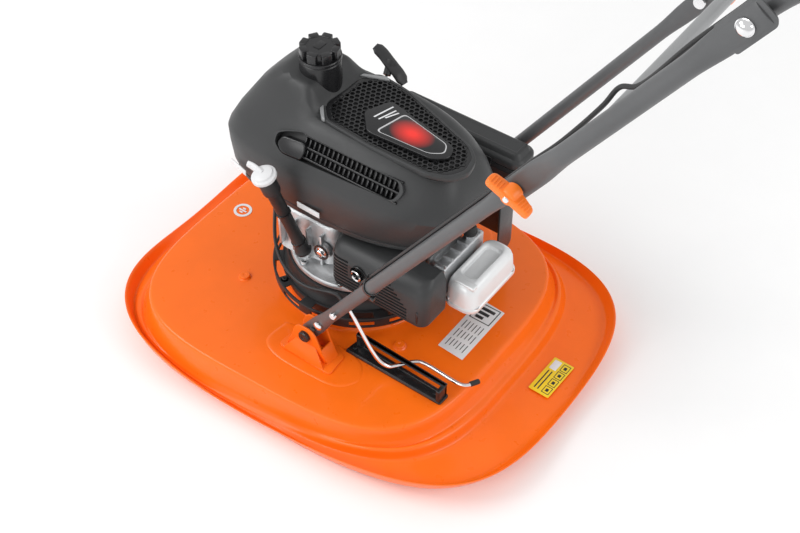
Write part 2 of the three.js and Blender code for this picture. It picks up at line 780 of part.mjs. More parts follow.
// ---------------------------------------------------------------- middle handle section
const midStart = FOLD.clone().add(new THREE.Vector3(13.4, 0, 0)).addScaledVector(armDirection, -14);
const foldOuter = FOLD.clone().add(new THREE.Vector3(13.4, 0, 0));
const midDirection = new THREE.Vector3(MIDDLE_TOP_X, SPLICE.y, SPLICE.z).sub(foldOuter).normalize();
const MIDDLE_LENGTH = 409;
const midEnd = foldOuter.clone().addScaledVector(midDirection, MIDDLE_LENGTH);
const midTotal = midStart.distanceTo(midEnd);
const midFlat = (t) => {
  const squash = 1 - smooth((t * midTotal - 50) / 60);
  const squashEnd = 1 - smooth(((1 - t) * midTotal - 50) / 60);
  const s = Math.max(squash, squashEnd);
  return [TUBE_R + 3 * s, TUBE_R - 6.5 * s];
};
const midTube = cut(
  swept(along(midStart, midEnd, 8), midFlat, 8),
  crossRod(210, 250, FOLD.y, FOLD.z, 4.4),
  crossRod(210, 250, SPLICE.y, SPLICE.z, 4.4),
);
const braceZ = FOLD.z + ((BRACE_Y - FOLD.y) * midDirection.z) / midDirection.y;
add('middle_handle', join(
  midTube,
  mirrorX(midTube),
  crossRod(-229, 229, BRACE_Y, braceZ, 8.5, 12),
), looks.paint);

// ---------------------------------------------------------------- fold bolts and wing knobs
const KNOB_IN = FOLD.x + 19.4;
const KNOB_OUT = KNOB_IN + 20;
const foldBolt = join(
  crossRod(202, KNOB_OUT + 1, FOLD.y, FOLD.z, 4, 12),
  crossRod(198, 203, FOLD.y, FOLD.z, 8, 12),
);
// The wing is a flat plate that holds the bolt's axis, from a round hub.
const wingPlate = new THREE.Shape([
  [-31, KNOB_OUT], [-31, KNOB_OUT - 17], [-12, KNOB_IN], [12, KNOB_IN], [31, KNOB_OUT - 14],
  [31, KNOB_OUT],
].map(([u, x]) => new THREE.Vector2(u, x)));
const wingGeometry = new THREE.ExtrudeGeometry(wingPlate, { depth: 10, bevelEnabled: false });
wingGeometry.translate(0, 0, -5);
wingGeometry.applyMatrix4(new THREE.Matrix4().set(
  0, 1, 0, 0,
  0.917, 0, 0.4, FOLD.y,
  -0.4, 0, 0.917, FOLD.z,
  0, 0, 0, 1,
));
const wing = cut(
  join(crossRod(KNOB_IN, KNOB_OUT - 2, FOLD.y, FOLD.z, 11, 20), wingGeometry),
  crossRod(220, 270, FOLD.y, FOLD.z, 4.4, 12),
);
for (const [side, place] of sides) {
  add(`fold_bolt_${side}`, place(foldBolt), looks.steel);
  add(`wing_knob_${side}`, place(wing), looks.orange);
}

// ---------------------------------------------------------------- upper handle, grips and bail
const upperLeft = [
  new THREE.Vector3(SPLICE.x, SPLICE.y - 22, SPLICE.z - 32),
  SPLICE,
  new THREE.Vector3(SPLICE.x, 650, 1008),
  new THREE.Vector3(SPLICE.x, 690, 1038),
  new THREE.Vector3(SPLICE.x, 740, 1056),
  new THREE.Vector3(206, 785, 1064),
  new THREE.Vector3(188, 806, 1068),
  new THREE.Vector3(160, HAND_Y, HAND_Z),
];
const upperCurve = [
  ...upperLeft,
  ...[120, 60, 0, -60, -120].map((x) => new THREE.Vector3(x, HAND_Y, HAND_Z)),
  ...upperLeft.slice().reverse().map((p) => new THREE.Vector3(-p.x, p.y, p.z)),
];
const upperTube = wire(upperCurve, 11, 28, 8);
add('upper_handle', cut(upperTube,
  crossRod(190, 235, SPLICE.y, SPLICE.z, 4.6, 10),
  crossRod(-235, -190, SPLICE.y, SPLICE.z, 4.6, 10)), looks.paint);
const spliceBolt = join(
  crossRod(196, 240, SPLICE.y, SPLICE.z, 4, 10),
  crossRod(236.2, 243, SPLICE.y, SPLICE.z, 8.5, 12),
  crossRod(194, 199.4, SPLICE.y, SPLICE.z, 8, 6),
);
for (const [side, place] of sides) add(`splice_bolt_${side}`, place(spliceBolt), looks.chrome);
add('hand_grip', cut(
  crossRod(-125, 125, HAND_Y, HAND_Z, 16, 20),
  crossRod(-130, 130, HAND_Y, HAND_Z, 11.6, 16),
), looks.rubber);
const bailPath = [
  new THREE.Vector3(196, BAIL_Y, BAIL_Z),
  new THREE.Vector3(196, 790, 1030),
  new THREE.Vector3(180, 812, 1034),
  new THREE.Vector3(150, 816, 1036),
  new THREE.Vector3(-150, 816, 1036),
  new THREE.Vector3(-180, 812, 1034),
  new THREE.Vector3(-196, 790, 1030),
  new THREE.Vector3(-196, BAIL_Y, BAIL_Z),
];
add('stop_bail', join(
  wire(bailPath, 4, 24, 6),
  crossRod(190, 199, BAIL_Y, BAIL_Z, 7, 12),
  crossRod(-199, -190, BAIL_Y, BAIL_Z, 7, 12),
), looks.dark);
const bailMount = cut(
  join(
    ring(12.8, 16.4, -9, 9, 14),
    box(-6, 6, -34, -13, -7, 7),
  ),
  crossRod(-12, 12, -26, 0, 4.4),
);
for (const [side, place] of sides) {
  const g = bailMount.clone();
  g.rotateX(Math.PI / 2 + 0.35);
  g.translate(SPLICE.x, 736, 1055);
  add(`bail_mount_${side}`, place(g), looks.black);
}

// ---------------------------------------------------------------- stay rod and its guide
const guideBody = cut(
  join(
    plate([[GUIDE_X - 14, GUIDE_FROM_Y], [GUIDE_X + 12, GUIDE_FROM_Y - 4],
      [GUIDE_X + 13, GUIDE_TO_Y], [GUIDE_X - 4, GUIDE_TO_Y]], DECK_Z + GAP, DECK_Z + 5),
    plate([[GUIDE_X - 14, GUIDE_FROM_Y], [GUIDE_X - 7, GUIDE_FROM_Y],
      [GUIDE_X - 2, GUIDE_TO_Y], [GUIDE_X - 8, GUIDE_TO_Y]], DECK_Z + 3, GUIDE_TOP),
    plate([[GUIDE_X + 6, GUIDE_FROM_Y - 4], [GUIDE_X + 12, GUIDE_FROM_Y - 4],
      [GUIDE_X + 13, GUIDE_TO_Y], [GUIDE_X + 9, GUIDE_TO_Y]], DECK_Z + 3, DECK_Z + 10),
  ),
  box(GUIDE_X - 30, GUIDE_X + 2, GUIDE_FROM_Y + 14, GUIDE_TO_Y - 8, DECK_Z + 6, GUIDE_TOP - 3),
);
add('rod_guide', guideBody, looks.black);
const rodPath = [
  new THREE.Vector3(ROD_TOP.x - 13, ROD_TOP.y, ROD_TOP.z),
  new THREE.Vector3(ROD_TOP.x - 16, ROD_TOP.y + 3, ROD_TOP.z - 6),
  new THREE.Vector3(150, 145, ROD_Z + 14),
  new THREE.Vector3(142, 158, ROD_Z + 1),
  new THREE.Vector3(134, 165, ROD_Z),
  new THREE.Vector3(112, 182, ROD_Z),
  new THREE.Vector3(106, 192, ROD_Z),
  new THREE.Vector3(107, 262, ROD_Z),
  new THREE.Vector3(103, 272, ROD_Z),
  new THREE.Vector3(86, 282, ROD_Z),
];
add('stay_rod', join(
  wire(rodPath, ROD_R, 24, 6),
  crossRod(ROD_TOP.x - 14, ROD_TOP.x + 15, ROD_TOP.y, ROD_TOP.z, ROD_R, 8),
  crossRod(ROD_TOP.x + 13, ROD_TOP.x + 17, ROD_TOP.y, ROD_TOP.z, 5.5, 8),
), looks.chrome);

// ---------------------------------------------------------------- control cable
// It runs from the stop bail down the left side of the handle and round the engine base.
const armOffset = new THREE.Vector3(-9.5, -9, 6.8);
const onArm = (t) => PIVOT.clone().lerp(FOLD, t).add(armOffset);
add('cable_on_engine', wire([
  onArm(0.31),
  new THREE.Vector3(157, 108, 220),
  new THREE.Vector3(148, 84, 184),
  new THREE.Vector3(118, 40, 156),
  new THREE.Vector3(127, -14, 150),
  new THREE.Vector3(113, -62, 148),
  new THREE.Vector3(84, -104, 150),
  new THREE.Vector3(40, -142, 160),
  new THREE.Vector3(10, -160, 190),
  new THREE.Vector3(0, -150, 236),
], CABLE_R, 24, 6), looks.black);
add('cable_on_arm', wire([
  onArm(0.325), onArm(0.5), onArm(0.75), onArm(0.94), onArm(1.02),
], CABLE_R, 8, 6), looks.black);
add('cable_on_handle', wire([
  onArm(1.035),
  new THREE.Vector3(196, 430, 712),
  new THREE.Vector3(190, 472, 780),
  new THREE.Vector3(186, 486, 808),
  new THREE.Vector3(192, 508, 824),
  new THREE.Vector3(200, 560, 905),
  new THREE.Vector3(200, 600, 962),
  new THREE.Vector3(199, 630, 1006),
  new THREE.Vector3(199, 668, 1044),
  new THREE.Vector3(198, 700, 1046),
  new THREE.Vector3(190, 724, 1034),
], CABLE_R, 24, 6), looks.black);

// The tie wraps the arm and the cable that lies along it.
const TIE_AT = 0.345;
function bandRing(centre, extra) {
  const side = new THREE.Vector3(1, 0, 0).addScaledVector(armDirection, -armDirection.x).normalize();
  const tall = armDirection.clone().cross(side);
  const circles = [
    { x: 0, y: 0, r: ARM_R + 0.5 },
    { x: armOffset.dot(side), y: armOffset.dot(tall), r: CABLE_R + 0.5 },
  ];
  return Array.from({ length: 16 }, (_, i) => {
    const a = (2 * Math.PI * i) / 16;
    const reach = (c) => c.x * Math.cos(a) + c.y * Math.sin(a) + c.r;
    const c = reach(circles[0]) > reach(circles[1]) ? circles[0] : circles[1];
    return centre.clone()
      .addScaledVector(side, c.x + (c.r + extra) * Math.cos(a))
      .addScaledVector(tall, c.y + (c.r + extra) * Math.sin(a));
  });
}
function band(halfWidth, extra) {
  const centre = PIVOT.clone().lerp(FOLD, TIE_AT);
  return loft([-halfWidth, halfWidth]
    .map((d) => bandRing(centre.clone().addScaledVector(armDirection, d), extra)));
}
add('cable_tie', cut(band(2.4, 1.4), band(5, 0)), looks.black);

export default group;
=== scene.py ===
# Hover mower: the detailed visual model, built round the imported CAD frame. Lengths in the helper
# calls are millimetres in the frame's own axes (+Z up, +Y to the operator, +X to the muffler side)
# and MM turns them into Blender's metres.
import math

import bmesh
import bpy
from mathutils import Matrix, Vector


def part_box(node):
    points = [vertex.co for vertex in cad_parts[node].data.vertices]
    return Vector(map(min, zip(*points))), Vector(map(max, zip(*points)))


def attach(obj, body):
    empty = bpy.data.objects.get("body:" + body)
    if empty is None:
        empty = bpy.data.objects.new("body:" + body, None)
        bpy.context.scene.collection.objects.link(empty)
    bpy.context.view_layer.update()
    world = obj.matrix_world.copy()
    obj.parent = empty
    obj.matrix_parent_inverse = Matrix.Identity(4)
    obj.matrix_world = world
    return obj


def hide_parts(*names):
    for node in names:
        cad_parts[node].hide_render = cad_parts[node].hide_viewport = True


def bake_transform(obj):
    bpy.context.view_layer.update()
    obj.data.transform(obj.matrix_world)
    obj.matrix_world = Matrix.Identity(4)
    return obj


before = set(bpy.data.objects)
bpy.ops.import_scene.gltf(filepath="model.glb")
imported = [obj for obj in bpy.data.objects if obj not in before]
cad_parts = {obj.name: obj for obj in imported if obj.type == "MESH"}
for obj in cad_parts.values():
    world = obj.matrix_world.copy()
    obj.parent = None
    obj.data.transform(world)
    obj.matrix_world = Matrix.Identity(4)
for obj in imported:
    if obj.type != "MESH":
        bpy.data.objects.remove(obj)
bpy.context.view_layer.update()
MM = 0.001


def box_mm(node):
    low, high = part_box(node)
    return low / MM, high / MM


def middle(node):
    low, high = box_mm(node)
    return (low + high) / 2


# ------------------------------------------------------------------ places read from the frame
PIVOT = Vector((170.5, middle("pivot_pin_left").y, middle("pivot_pin_left").z))
BOLT = middle("fold_bolt_left")
FOLD = Vector((212.0, BOLT.y, BOLT.z))
SPLICE = middle("splice_bolt_left")
ARM_DIR = (FOLD - PIVOT).normalized()
MID_FOOT = FOLD + Vector((13.4, 0, 0))
MID_DIR = (Vector((230, SPLICE.y, SPLICE.z)) - MID_FOOT).normalized()
GRIP_LOW, GRIP_HIGH = box_mm("hand_grip")
GRIP_Y = (GRIP_LOW.y + GRIP_HIGH.y) / 2
GRIP_Z = (GRIP_LOW.z + GRIP_HIGH.z) / 2
RING_HIGH = box_mm("intake_ring")[1]
RING_R = RING_HIGH.x
RING_Z = 122.0
DECK_Z = box_mm("rating_plate")[0].z - 0.3
CAP_LOW, CAP_HIGH = box_mm("fuel_cap")
CAP_C = (CAP_LOW + CAP_HIGH) / 2
CAP_R = (CAP_HIGH.x - CAP_LOW.x) / 2
GUIDE_HIGH = box_mm("rod_guide")[1]
TOP_Z = 426.0
TOP_FALL = 0.05

# ------------------------------------------------------------------ materials
materials = {}


def node(tree, kind, **settings):
    made = tree.nodes.new(kind)
    for key, value in settings.items():
        if key in made.inputs:
            made.inputs[key].default_value = value
        else:
            setattr(made, key, value)
    return made


def principled(name, colour, rough, metal=0.0, coat=0.0, grain=(900.0, 0.03), mottle=0.06,
               rough_spread=0.08, scratch=0.0, specular=0.5):
    """A moulded, painted or metal surface: mottled colour, uneven gloss and a fine grain."""
    mat = bpy.data.materials.new(name)
    mat.use_nodes = True
    tree = mat.node_tree
    shader = tree.nodes["Principled BSDF"]
    shader.inputs["Metallic"].default_value = metal
    shader.inputs["Coat Weight"].default_value = coat
    shader.inputs["Coat Roughness"].default_value = 0.06
    shader.inputs["Specular IOR Level"].default_value = specular
    place = node(tree, "ShaderNodeTexCoord")
    cloud = node(tree, "ShaderNodeTexNoise", Scale=14.0, Detail=5.0, Roughness=0.6)
    tree.links.new(place.outputs["Object"], cloud.inputs["Vector"])
    ramp = node(tree, "ShaderNodeValToRGB")
    dark = [c * (1 - mottle) for c in colour]
    light = [min(c * (1 + mottle), 1) for c in colour]
    ramp.color_ramp.elements[0].position = 0.3
    ramp.color_ramp.elements[0].color = (*dark, 1)
    ramp.color_ramp.elements[1].position = 0.7
    ramp.color_ramp.elements[1].color = (*light, 1)
    tree.links.new(cloud.outputs["Fac"], ramp.inputs["Fac"])
    tree.links.new(ramp.outputs["Color"], shader.inputs["Base Color"])
    smear = node(tree, "ShaderNodeTexNoise", Scale=55.0, Detail=4.0)
    tree.links.new(place.outputs["Object"], smear.inputs["Vector"])
    spread = node(tree, "ShaderNodeMapRange")
    spread.inputs["To Min"].default_value = max(rough - rough_spread, 0.02)
    spread.inputs["To Max"].default_value = min(rough + rough_spread, 1)
    tree.links.new(smear.outputs["Fac"], spread.inputs["Value"])
    tree.links.new(spread.outputs["Result"], shader.inputs["Roughness"])
    fine = node(tree, "ShaderNodeTexNoise", Scale=grain[0], Detail=3.0)
    tree.links.new(place.outputs["Object"], fine.inputs["Vector"])
    height = fine.outputs["Fac"]
    if scratch:
        stretch = node(tree, "ShaderNodeMapping")
        stretch.inputs["Scale"].default_value = (30, 30, 900)
        tree.links.new(place.outputs["Object"], stretch.inputs["Vector"])
        lines = node(tree, "ShaderNodeTexNoise", Scale=3.0, Detail=6.0)
        tree.links.new(stretch.outputs["Vector"], lines.inputs["Vector"])
        mix = node(tree, "ShaderNodeMix", data_type="FLOAT")
        mix.inputs["Factor"].default_value = scratch
        tree.links.new(height, mix.inputs[2])
        tree.links.new(lines.outputs["Fac"], mix.inputs[3])
        height = mix.outputs[0]
    bump = node(tree, "ShaderNodeBump")
    bump.inputs["Strength"].default_value = grain[1] * 10
    bump.inputs["Distance"].default_value = 0.0003
    tree.links.new(height, bump.inputs["Height"])
    tree.links.new(bump.outputs["Normal"], shader.inputs["Normal"])
    materials[name] = mat
    return mat


principled("hood_orange", (0.95, 0.155, 0.006), 0.3, coat=0.15, grain=(260.0, 0.004), mottle=0.035,
           specular=0.3)
principled("bracket_orange", (0.95, 0.155, 0.006), 0.35, coat=0.1, grain=(500.0, 0.01), specular=0.3)
principled("knob_orange", (0.95, 0.2, 0.015), 0.4, grain=(1200.0, 0.02))
principled("cover_grey", (0.034, 0.035, 0.036), 0.42, grain=(2600.0, 0.028), mottle=0.05, specular=0.4)
principled("black_gloss", (0.012, 0.012, 0.013), 0.25, grain=(900.0, 0.01))
principled("black_plastic", (0.018, 0.018, 0.019), 0.45, grain=(1800.0, 0.03))
principled("rubber", (0.02, 0.02, 0.02), 0.75, grain=(2200.0, 0.05))
principled("tube_grey", (0.105, 0.107, 0.11), 0.4, metal=0.25, grain=(1500.0, 0.02))
principled("brace_grey", (0.32, 0.325, 0.33), 0.38, metal=0.3, grain=(1500.0, 0.02))
principled("cast_alloy", (0.6, 0.61, 0.62), 0.42, metal=0.9, grain=(1100.0, 0.09), mottle=0.1)
principled("silver_paint", (0.8, 0.81, 0.815), 0.34, metal=0.35, grain=(1300.0, 0.03))
principled("zinc", (0.66, 0.67, 0.68), 0.28, metal=1.0, grain=(1200.0, 0.02), scratch=0.4)
principled("chrome", (0.82, 0.82, 0.83), 0.12, metal=1.0, grain=(900.0, 0.006), scratch=0.3)
principled("blade_black", (0.03, 0.03, 0.032), 0.5, metal=0.5, grain=(900.0, 0.05))
principled("cap_grey", (0.7, 0.7, 0.71), 0.4, grain=(1500.0, 0.02))
principled("accent_grey", (0.3, 0.305, 0.31), 0.32, metal=0.2, grain=(1500.0, 0.02))
principled("label_white", (0.74, 0.75, 0.76), 0.4, grain=(700.0, 0.01))
principled("label_yellow", (0.86, 0.62, 0.02), 0.42, grain=(700.0, 0.01))
principled("ink", (0.02, 0.02, 0.02), 0.45, grain=(700.0, 0.01))

# ------------------------------------------------------------------ mesh helpers


def finish_mesh(obj, mat, body, angle=35.0):
    mesh = obj.data
    mesh.polygons.foreach_set("use_smooth", [True] * len(mesh.polygons))
    mesh.set_sharp_from_angle(angle=math.radians(angle))
    mesh.materials.clear()
    mesh.materials.append(materials[mat])
    if body:
        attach(obj, body)
    return obj


def apply_modifiers(obj):
    graph = bpy.context.evaluated_depsgraph_get()
    baked = bpy.data.meshes.new_from_object(obj.evaluated_get(graph))
    old = obj.data
    obj.modifiers.clear()
    obj.data = baked
    bpy.data.meshes.remove(old)


def make(name, points, faces, mat, body, bevel=0.0, subdiv=0, thick=0.0, offset=-1.0, angle=35.0,
         cutters=(), segments=2):
    """One piece from points in millimetres, with its modifiers applied."""
    mesh = bpy.data.meshes.new(name)
    mesh.from_pydata([Vector(p) * MM for p in points], [], faces)
    tidy = bmesh.new()
    tidy.from_mesh(mesh)
    bmesh.ops.remove_doubles(tidy, verts=tidy.verts, dist=1e-6)
    bmesh.ops.recalc_face_normals(tidy, faces=tidy.faces)
    tidy.to_mesh(mesh)
    tidy.free()
    obj = bpy.data.objects.new(name, mesh)
    bpy.context.scene.collection.objects.link(obj)
    if thick:
        shell = obj.modifiers.new("shell", "SOLIDIFY")
        shell.thickness = thick * MM
        shell.offset = offset
    if subdiv:
        smooth = obj.modifiers.new("smooth", "SUBSURF")
        smooth.levels = subdiv
        smooth.render_levels = subdiv
    for cutter in cutters:
        cut = obj.modifiers.new("cut", "BOOLEAN")
        cut.operation = "DIFFERENCE"
        cut.solver = "EXACT"
        cut.object = cutter
    if bevel:
        edge = obj.modifiers.new("edge", "BEVEL")
        edge.width = bevel * MM
        edge.segments = segments
        edge.limit_method = "ANGLE"
        edge.angle_limit = math.radians(32)
    if obj.modifiers:
        apply_modifiers(obj)
    for cutter in cutters:
        bpy.data.objects.remove(cutter)
    return finish_mesh(obj, mat, body, angle)


def loft_data(rings, loop=False, caps=True):
    count = len(rings[0])
    points = [p for ring in rings for p in ring]
    faces = []
    last = len(rings) if loop else len(rings) - 1
    for j in range(last):
        k = (j + 1) % len(rings)
        for i in range(count):
            m = (i + 1) % count
            faces.append((j * count + i, j * count + m, k * count + m, k * count + i))
    if caps and not loop:
        faces.append(tuple(range(count))[::-1])
        faces.append(tuple((len(rings) - 1) * count + i for i in range(count)))
    return points, faces


def loft(name, rings, mat, body, loop=False, caps=True, **more):
    points, faces = loft_data(rings, loop, caps)
    return make(name, points, faces, mat, body, **more)


def lathe(name, profile, mat, body, centre=(0, 0, 0), axis=(0, 0, 1), count=48, **more):
    """Turns (radius, height) points about an axis; heights are along it from the centre."""
    turn = Vector(axis).to_track_quat("Z", "Y")
    middle_point = Vector(centre)
    rings = []
    for r, z in profile:
        rings.append([middle_point + turn @ Vector((max(r, 0.01) * math.cos(2 * math.pi * i / count),
                max(r, 0.01) * math.sin(2 * math.pi * i / count), z)) for i in range(count)])
    return loft(name, rings, mat, body, **more)


def prism(name, outline, z0, z1, mat, body, place=None, bevel=0.8, **more):
    """An outline in plan pushed from z0 to z1, then placed by a matrix in millimetres."""
    matrix = place or Matrix.Identity(4)
    rings = [[matrix @ Vector((x, y, z)) for x, y in outline] for z in (z0, z1)]
    return loft(name, rings, mat, body, bevel=bevel, **more)


def block(name, low, high, mat, body, place=None, bevel=1.0, **more):
    outline = [(low[0], low[1]), (high[0], low[1]), (high[0], high[1]), (low[0], high[1])]
    return prism(name, outline, low[2], high[2], mat, body, place, bevel, **more)


def rounded(x0, x1, y0, y1, r, steps=5):
    points = []
    for cx, cy, start in ((x1 - r, y0 + r, -90), (x1 - r, y1 - r, 0), (x0 + r, y1 - r, 90),
                          (x0 + r, y0 + r, 180)):
        for i in range(steps + 1):
            a = math.radians(start + 90 * i / steps)
            points.append((cx + r * math.cos(a), cy + r * math.sin(a)))
    return points


def curve_points(points, steps):
    """A centripetal Catmull-Rom curve through the points, sampled evenly in each span."""
    given = [Vector(p) for p in points]
    ends = [given[0] * 2 - given[1]] + given + [given[-1] * 2 - given[-2]]
    out = []
    for i in range(1, len(ends) - 2):
        p0, p1, p2, p3 = ends[i - 1:i + 3]
        t1 = max((p1 - p0).length ** 0.5, 1e-4)
        t2 = t1 + max((p2 - p1).length ** 0.5, 1e-4)
        t3 = t2 + max((p3 - p2).length ** 0.5, 1e-4)
        for j in range(steps):
            t = t1 + (t2 - t1) * j / steps
            a1 = p0 * ((t1 - t) / t1) + p1 * (t / t1)
            a2 = p1 * ((t2 - t) / (t2 - t1)) + p2 * ((t - t1) / (t2 - t1))
            a3 = p2 * ((t3 - t) / (t3 - t2)) + p3 * ((t - t2) / (t3 - t2))
            b1 = a1 * ((t2 - t) / t2) + a2 * (t / t2)
            b2 = a2 * ((t3 - t) / (t3 - t1)) + a3 * ((t - t1) / (t3 - t1))
            out.append(b1 * ((t2 - t) / (t2 - t1)) + b2 * ((t - t1) / (t2 - t1)))
    out.append(given[-1])
    return out


def sweep(name, path, section, mat, body, count=20, **more):
    """Sweeps an ellipse along a path. section(fraction) gives its half height and half width
    along X, so that a tube can be pressed flat."""
    rings = []
    last = len(path) - 1
    up = None
    for j, point in enumerate(path):
        along = (path[min(j + 1, last)] - path[max(j - 1, 0)]).normalized()
        if up is None:
            side = Vector((1, 0, 0)) if abs(along.x) < 0.9 else Vector((0, 0, 1))
            up = along.cross(side).normalized()
        up = (up - along * up.dot(along)).normalized()
        side = up.cross(along).normalized()
        tall, wide = section(j / last)
        rings.append([point + up * (tall * math.cos(2 * math.pi * i / count))
                      + side * (wide * math.sin(2 * math.pi * i / count)) for i in range(count)])
    return loft(name, rings, mat, body, **more)


def straight(a, b, steps):
    return [Vector(a).lerp(Vector(b), i / steps) for i in range(steps + 1)]


def ease(v):
    t = min(max(v, 0.0), 1.0)
    return t * t * (3 - 2 * t)


def lattice(name, place, u_cuts, v_cuts, is_open, mat, body, thick, wrap=False, **more):
    """A sheet of cells with some left open: place(u, v) gives the points."""
    nu = len(u_cuts)
    nv = len(v_cuts)
    points = [place(u, v) for u in u_cuts for v in v_cuts]
    faces = []
    for i in range(nu if wrap else nu - 1):
        k = (i + 1) % nu
        for j in range(nv - 1):
            if not is_open(i, j):
                faces.append((i * nv + j, k * nv + j, k * nv + j + 1, i * nv + j + 1))
    return make(name, points, faces, mat, body, thick=thick, **more)


def mirrored(obj, name, body):
    """A copy on the other side of the object."""
    mesh = obj.data.copy()
    mesh.transform(Matrix.Scale(-1, 4, (1, 0, 0)))
    mesh.flip_normals()
    twin = bpy.data.objects.new(name, mesh)
    bpy.context.scene.collection.objects.link(twin)
    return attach(twin, body)


def hex_bolt(name, centre, axis, across, body, height=5.0, washer=0.0, mat="zinc"):
    """A hexagon head with a chamfered top and, if wanted, a washer under it."""
    r = across / math.sqrt(3)
    profile = [(0, 0), (r, 0), (r, height * 0.75), (r * 0.86, height), (0, height)]
    head = lathe(name, profile, mat, body, centre, axis, count=6, bevel=0.3, angle=25)
    if washer:
        lathe(name + "_washer", [(0, -1.4), (washer, -1.4), (washer, -0.2), (washer - 0.4, 0), (0, 0)],
              mat, body, centre, axis, count=32, angle=30)
    return head


# ------------------------------------------------------------------ camera
camera_data = bpy.data.cameras.new("camera")
camera_data.lens = 63.0
camera_data.sensor_width = 36.0
camera = bpy.data.objects.new("camera", camera_data)
bpy.context.scene.collection.objects.link(camera)
CAMERA_AZIMUTH = math.radians(126.1)
CAMERA_ELEVATION = math.radians(46.1)
back = Vector((math.sin(CAMERA_AZIMUTH) * math.cos(CAMERA_ELEVATION),
               -math.cos(CAMERA_AZIMUTH) * math.cos(CAMERA_ELEVATION), math.sin(CAMERA_ELEVATION)))
camera.location = (1.2176, 0.9627, 1.7042)
camera.rotation_mode = "QUATERNION"
camera.rotation_quaternion = (-back).to_track_quat("-Z", "Y")
bpy.context.scene.camera = camera

# ------------------------------------------------------------------ hood
DECK = {"cx": 10.5, "cy": -13.8, "a": 263.6, "b": 282.0, "front": 3.5, "rear": 3.8, "taper": -0.044}
RIM = {"cx": 11.7, "cy": 22.5, "a": 289.8, "b": 370.6, "front": 3.35, "rear": 3.97, "taper": -0.063}
RIM_Z = 27.0
RIM_RISE = 24.0
HOOD_STEPS = 112


def outline_point(o, angle):
    c, s = math.cos(angle), math.sin(angle)
    n = o["front"] if s < 0 else o["rear"]
    x = math.copysign(abs(c) ** (2 / n), c)
    y = math.copysign(abs(s) ** (2 / n), s)
    corner = (2 * abs(x * y) / (x * x + y * y)) ** 2
    return o["cx"] + o["a"] * x * (1 + o["taper"] * y), o["cy"] + o["b"] * y, corner


def hood_profile(width, corner):
    """(distance out from the deck edge, height) pairs, over the top and back underneath."""
    rear = ease((width - 60) / 50)
    rim = RIM_Z + RIM_RISE * corner
    floor = 21 + 0.4 * RIM_RISE * corner * corner
    foot = min(13, 0.42 * width)
    fillet = min(19, 0.55 * width)
    step_top = min(26, 0.6 * width)
    step_foot = min(33, 0.64 * width)
    channel = max(width - 17, 0.7 * width)
    skirt = width - 1 - 0.97 * rim
    return [(-14, DECK_Z), (-5, DECK_Z), (-1.5, DECK_Z - 0.5), (1.5, DECK_Z - 3),
            (0.55 * foot, DECK_Z - 20), (0.95 * foot, 40 + 8 * rear), (foot + 1.5, 34 + 9 * rear),
            (fillet, floor + 8 + 11 * rear), (0.5 * (fillet + step_top), floor + 6 + 12 * rear),
            (step_top, floor + 5 + 11 * rear), (step_top + 2, floor + 4 + 8 * rear),
            (step_foot, floor + 2), (step_foot + 3, floor + 1.2), (0.5 * (step_foot + channel),
                    floor + 0.6), (channel - 1, floor), (channel + 2, floor + 0.6),
                    (width - 6, rim - 4), (width - 2.5, rim - 0.8), (width - 0.8, rim),
                    (width, rim - 0.8), (width - 0.2, rim - 3.5), (channel + 4, floor - 3),
                    (channel + 1, floor - 4.5), (channel - 0.5, floor - 6), (skirt + 1, 1.6),
                    (skirt, 0.2), (skirt - 4, 0.2), (skirt - 4.6, 1.6), (channel - 6, floor - 6),
                    (step_foot - 4, floor - 2.5), (fillet - 4, floor + 4 + 11 * rear),
                    (foot - 4, 34 + 8 * rear), (-3.5, DECK_Z - 6), (-8, DECK_Z - 3.5),]


def hood_rings():
    rows = []
    for i in range(HOOD_STEPS):
        angle = 2 * math.pi * i / HOOD_STEPS
        px, py, _ = outline_point(DECK, angle)
        qx, qy, corner = outline_point(RIM, angle)
        width = math.hypot(qx - px, qy - py)
        out = Vector(((qx - px) / width, (qy - py) / width, 0))
        heading = Vector((px, py, 0)).normalized()
        row = [Vector((heading.x * r, heading.y * r, z)) for r, z in
               ((105, 89), (104.5, 97), (107, 98.8), (113, 98.8), (116.5, 97), (118, 92), (120, 80),
                (123, 75.5), (129, DECK_Z))]
        row.append(Vector((heading.x * 129, heading.y * 129, DECK_Z)).lerp(Vector((px, py, DECK_Z)),
                0.5))
        row += [Vector((px, py, z)) + out * d for d, z in hood_profile(width, corner)]
        row.append(Vector((heading.x * 150, heading.y * 150, DECK_Z - 3.5)))
        row.append(Vector((heading.x * 120, heading.y * 120, DECK_Z - 3.5)))
        row.append(Vector((heading.x * 115, heading.y * 115, 80)))
        rows.append(row)
    return [[row[k] for row in rows] for k in range(len(rows[0]))]


hood = loft("hood", hood_rings(), "hood_orange", "mower", loop=True, subdiv=1, angle=60)
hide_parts("hood_shell")

BOSSES = [(115, -149), (87, 138), (57, 100), (-95, 138), (-100, -149)]
for index, (x, y) in enumerate(BOSSES):
    lathe(f"deck_boss_{index + 1}", [(0, -1), (12, -1), (10, 0.4), (8.4, 2), (8.2, 4.4), (7.4, 5.2),
                                    (3, 5.2), (2.4, 4.6), (0, 4.6)],
          "hood_orange", "mower", (x, y, DECK_Z), count=32)


def pad(name, outline, height):
    """A shallow pressing raised from the deck, with soft shoulders."""
    cx = sum(p[0] for p in outline) / len(outline)
    cy = sum(p[1] for p in outline) / len(outline)
    rings = []
    for scale, z in ((1.04, -0.5), (1.0, 0.15), (0.965, height), (0.9, height + 0.1)):
        rings.append([(cx + (x - cx) * scale, cy + (y - cy) * scale, DECK_Z + z) for x, y in outline])
    return loft(name, rings, "hood_orange", "mower", subdiv=2, angle=60)


def smooth_outline(corners, steps=6):
    return [(p.x, p.y) for p in curve_points([(x, y, 0) for x, y in corners + corners[:1]], steps)[:-1]]


